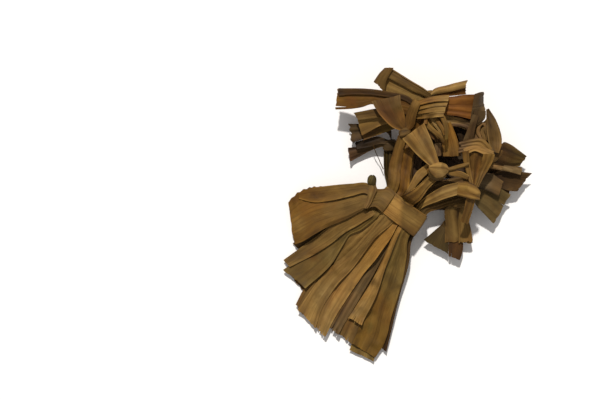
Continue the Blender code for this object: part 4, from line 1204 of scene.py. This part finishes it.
def leaf_material(name, palette):
    """Dried banana leaf: parallel veins along it, blotches, stains and frayed edges, with painted shade in
    its pleats' hollows and creases and a painted highlight on its ridges and pale rims.
    """
    n = Nodes(name)
    dark_tone_and_shade, body, light_tone_and_highlight = [(*colour, 1) for colour in palette]
    place = n.add("ShaderNodeUVMap", uv_map="leaf").outputs["UV"]
    tint = n.add("ShaderNodeAttribute", attribute_name="tint").outputs["Color"]
    marks = n.add("ShaderNodeAttribute", attribute_name="marks").outputs["Color"]
    split = n.add("ShaderNodeSeparateColor", {"Color": marks})
    # Red is the pleats' height for the painted shade and highlight, green the nearness to a torn rim, blue
    # the paler face
    fold_shading, edge, back = (split.outputs[k] for k in ("Red", "Green", "Blue"))

    fibres = n.noise(place, (1.9, 0.045), detail=5, roughness=0.68)
    veins = n.noise(place, (0.85, 0.012), detail=2, roughness=0.5)
    blotch = n.noise(place, (0.10, 0.055), detail=4, roughness=0.6, distortion=0.6)
    patch = n.noise(place, (0.045, 0.03), detail=3, roughness=0.55, distortion=0.4)
    stain = n.noise(place, (0.13, 0.05), detail=5, roughness=0.7, distortion=1.2)
    specks = n.noise(place, (1.3, 0.7), detail=2, roughness=0.6)
    wrinkles = n.noise(place, (0.16, 0.75), detail=3, roughness=0.6, distortion=0.5)
    # Thin crease lines in patches: painted shade in the colour, and grooves in the relief
    creases = n.noise(place, (0.15, 0.006), detail=2, roughness=0.5)
    off_crease = n.math("ABSOLUTE", n.math("SUBTRACT", creases, 0.5))
    crease = n.math("MULTIPLY", n.between(off_crease, 0.0, 0.045, 1, 0), n.between(blotch, 0.36, 0.56))

    # How light it is: streaks and blotches of its own, and the folds' height as painted shade in their
    # hollows and a painted highlight on their ridges
    parts = ((fibres, 0.36), (veins, 0.18), (blotch, 0.9), (fold_shading, 0.62))
    level = n.sum((n.math("SUBTRACT", part, 0.5), weight) for part, weight in parts)
    darker = n.between(level, -0.40, -0.02)
    lighter = n.between(level, 0.0, 0.42)
    colour = n.mix(darker, dark_tone_and_shade, body)
    colour = n.mix(lighter, colour, light_tone_and_highlight)
    # Torn edges are dark in places and frayed pale in others; the pale rims also carry a painted highlight.
    rim_wear_and_highlight = n.mix(n.between(blotch, 0.38, 0.55), (0.6, 0.52, 0.45, 1), (1.5, 1.5, 1.5, 1))
    for share, factor in (
        (n.between(patch, 0.52, 0.70, 0, 0.5), (1.14, 0.90, 0.70, 1)),  # patches that dried redder
        (n.between(patch, 0.48, 0.32, 0, 0.6), (0.86, 0.93, 1.02, 1)),  # and others that dried greyer
        (n.between(stain, 0.60, 0.72, 0, 0.4), (0.42, 0.36, 0.32, 1)),
        (n.between(specks, 0.70, 0.76, 0, 0.7), (0.34, 0.27, 0.22, 1)),
        # painted shade along the thin crease lines
        (n.math("MULTIPLY", crease, 0.5), (0.42, 0.36, 0.30, 1)),
        (n.math("MULTIPLY", back, 0.8), (1.18, 1.22, 1.36, 1)),  # the leaf's other face is paler and greyer
        (n.math("MULTIPLY", edge, 0.55), rim_wear_and_highlight),
        (1.0, tint),
    ):
        colour = n.mix(share, colour, factor, "MULTIPLY")
    n.feed(n.shader.inputs["Base Color"], colour)
    n.feed(n.shader.inputs["Roughness"], n.between(blotch, 0.3, 0.7, *ROUGHNESS))
    n.shader.inputs["Specular IOR Level"].default_value = GLOSS

    height = n.sum(((fibres, 0.55), (veins, 0.8), (wrinkles, 0.35), (crease, -0.5)))
    depth = BUMP_DEPTH * MM
    bump = n.add("ShaderNodeBump", {"Strength": BUMP_STRENGTH, "Distance": depth, "Height": height})
    n.feed(n.shader.inputs["Normal"], bump.outputs["Normal"])
    return n.material


# Pieces


def mesh_of(name, surfaces):
    """One mesh of many surfaces, with the leaf map and the two colour attributes."""
    verts, faces, uv, tint, marks = [], [], [], [], []
    start = 0
    for surface in surfaces:
        rows, columns = surface.points.shape[:2]
        corner = np.arange(rows * columns).reshape(rows, columns) + start
        quads = np.stack([corner[:-1, :-1], corner[:-1, 1:], corner[1:, 1:], corner[1:, :-1]], axis=-1)
        faces.append(quads[surface.kept])
        verts.append(surface.points.reshape(-1, 3))
        uv.append(surface.uv.reshape(-1, 2))
        ones = np.ones((rows, columns, 1))
        tint.append(np.dstack([surface.tint, ones]).reshape(-1, 4))
        marks.append(np.dstack([surface.fold_shading, surface.edge, surface.back, ones]).reshape(-1, 4))
        start += rows * columns
    verts, faces, uv = np.concatenate(verts) * MM, np.concatenate(faces), np.concatenate(uv)
    mesh = bpy.data.meshes.new(name)
    mesh.from_pydata(verts.tolist(), [], faces.tolist())
    layer = mesh.uv_layers.new(name="leaf")
    loops = np.empty(len(mesh.loops), np.int32)
    mesh.loops.foreach_get("vertex_index", loops)
    layer.uv.foreach_set("vector", uv[loops].astype(np.float32).ravel())
    for attribute, values in (("tint", tint), ("marks", marks)):
        made = mesh.attributes.new(attribute, "FLOAT_COLOR", "POINT")
        made.data.foreach_set("color", np.concatenate(values).astype(np.float32).ravel())
    return mesh


def piece(surfaces, slot, node):
    """The piece that stands for a node: its leaf surfaces, each given its thickness."""
    name = f"{node}_detail"
    draft = bpy.data.objects.new(name, mesh_of(name, surfaces))
    bpy.context.scene.collection.objects.link(draft)
    ply = draft.modifiers.new("ply", "SOLIDIFY")
    ply.thickness = SHEET * MM
    ply.offset = 0
    bpy.context.view_layer.update()
    solid = bpy.data.meshes.new_from_object(draft.evaluated_get(bpy.context.evaluated_depsgraph_get()))
    draft.modifiers.clear()
    draft.data = solid
    solid.name = name
    solid.shade_smooth()
    solid.set_sharp_from_angle(angle=math.radians(SHARP_ANGLE))
    solid.materials.clear()
    solid.materials.append(materials[slot])
    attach(draft, "root")
    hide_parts(node)


# The bundle

materials = {slot: leaf_material(f"leaf_{slot}", palette) for slot, palette in PALETTES.items()}
solids = {name: points_on(name) for name in LEAVES}
inside_band = np.concatenate(list(solids.values()))
near_band = (np.abs(inside_band[:, 1]) < BAND_EDGE) & (np.abs(inside_band[:, 0]) < NECK_HALF + 1)
neck = inside_band[near_band][:, [0, 2]]
outline = outline_round(neck, CLEARANCE + BAND_WALL)
field = np.zeros(FIELD_SHAPE)
bundle = {}
for number, (name, (_, items)) in enumerate(LEAVES.items()):
    rng = np.random.default_rng(LEAF_SEED + number)
    bundle[name] = laid(items, solids[name], field, rng)
    raise_field(field, solids[name], -(SKIRT_SINK if name.startswith("skirt") else SINK))

# What runs through the band is held down by it
ceiling, ground = (level_of(outline_round(neck, CLEARANCE), upper) for upper in (True, False))
for name, surfaces in bundle.items():
    for surface in surfaces:
        x, y, z = (surface.points[:, :, k] for k in range(3))
        held = ease((BAND_WIDTH / 2 + ROOT_EASING - np.abs(y)) / ROOT_EASING)
        top, bottom = np.interp(x, *ceiling) - HELD_UNDER, np.interp(x, *ground) + BAND_WALL
        z += held * (np.clip(z, bottom, np.maximum(top, bottom)) - z)
    piece(surfaces, LEAVES[name][0], name)

rng = np.random.default_rng(BAND_SEED)
# The second tint of each turn is the painted shade on the band's right side
surfaces = [
    band_turn(outline, rng, BAND_INSET, BAND_LOW, BAND_HIGH, ALL_ROUND, 0.0, "bright", "light", 1),
    band_turn(outline, rng, WRAP_INSET, WRAP_LOW, WRAP_HIGH, WRAP_SPAN, WRAP_LEAN, "fresh", "light", 1),
]
for surface in surfaces:
    raise_field(field, surface.points.reshape(-1, 3), SHEET / 2)
surfaces += laid(TAIL, None, field, rng)
surfaces += wound(TAIL_KNOB, rng)
piece(surfaces, "tan", "neck_band")


# Table, light and camera

FLOOR_SIZE = 4.0
SUN_ELEVATION = 52.0
SUN_TURN = 8.0  # to the left of the photo's top
VIEW_TURN = 35.0  # the bundle's own x axis points this far below the photo's
SUN_STRENGTH, SKY_STRENGTH = 3.6, 0.42
SUN_BLUR = 3.0  # in degrees
SUN_COLOUR, SKY_COLOUR, TABLE_COLOUR = (1.0, 0.97, 0.93), (1.0, 0.985, 0.97, 1), (0.88, 0.86, 0.85, 1)
CAMERA_HEIGHT = 1.1
FRAME_WIDTH = 0.510  # of the table that the photo shows
CAMERA_PLACE = (-73.7 * MM, -38.3 * MM)


def floor():
    """The pale table."""
    mesh = bpy.data.meshes.new("table")
    half = FLOOR_SIZE / 2
    corners = [(-half, -half, 0), (half, -half, 0), (half, half, 0), (-half, half, 0)]
    mesh.from_pydata(corners, [], [(0, 1, 2, 3)])
    table = bpy.data.objects.new("table", mesh)
    n = Nodes("table")
    n.shader.inputs["Base Color"].default_value = TABLE_COLOUR
    n.shader.inputs["Roughness"].default_value = TABLE_ROUGHNESS
    n.shader.inputs["Specular IOR Level"].default_value = TABLE_GLOSS
    mesh.materials.append(n.material)
    bpy.context.scene.collection.objects.link(table)


def lights():
    """A high sun and a soft sky."""
    turn = math.radians(90 + VIEW_TURN + SUN_TURN)
    flat = math.cos(math.radians(SUN_ELEVATION))
    towards = Vector((math.cos(turn) * flat, math.sin(turn) * flat, math.sin(math.radians(SUN_ELEVATION))))
    sun = bpy.data.lights.new("sun", "SUN")
    sun.energy = SUN_STRENGTH
    sun.angle = math.radians(SUN_BLUR)
    sun.color = SUN_COLOUR
    lamp = bpy.data.objects.new("sun", sun)
    lamp.rotation_euler = towards.to_track_quat("Z", "Y").to_euler()
    bpy.context.scene.collection.objects.link(lamp)
    world = bpy.data.worlds.new("soft_light")
    bpy.context.scene.world = world
    world.use_nodes = True
    sky = world.node_tree.nodes["Background"]
    sky.inputs["Color"].default_value = SKY_COLOUR
    sky.inputs["Strength"].default_value = SKY_STRENGTH


def camera():
    """Straight above the table, as in the photo."""
    data = bpy.data.cameras.new("camera")
    data.lens = data.sensor_width * CAMERA_HEIGHT / FRAME_WIDTH
    obj = bpy.data.objects.new("camera", data)
    obj.location = (*CAMERA_PLACE, CAMERA_HEIGHT)
    obj.rotation_euler = (0, 0, math.radians(VIEW_TURN))
    bpy.context.scene.collection.objects.link(obj)
    bpy.context.scene.camera = obj


floor()
lights()
camera()
bpy.context.scene.view_settings.view_transform = "Standard"

bpy.context.view_layer.update()
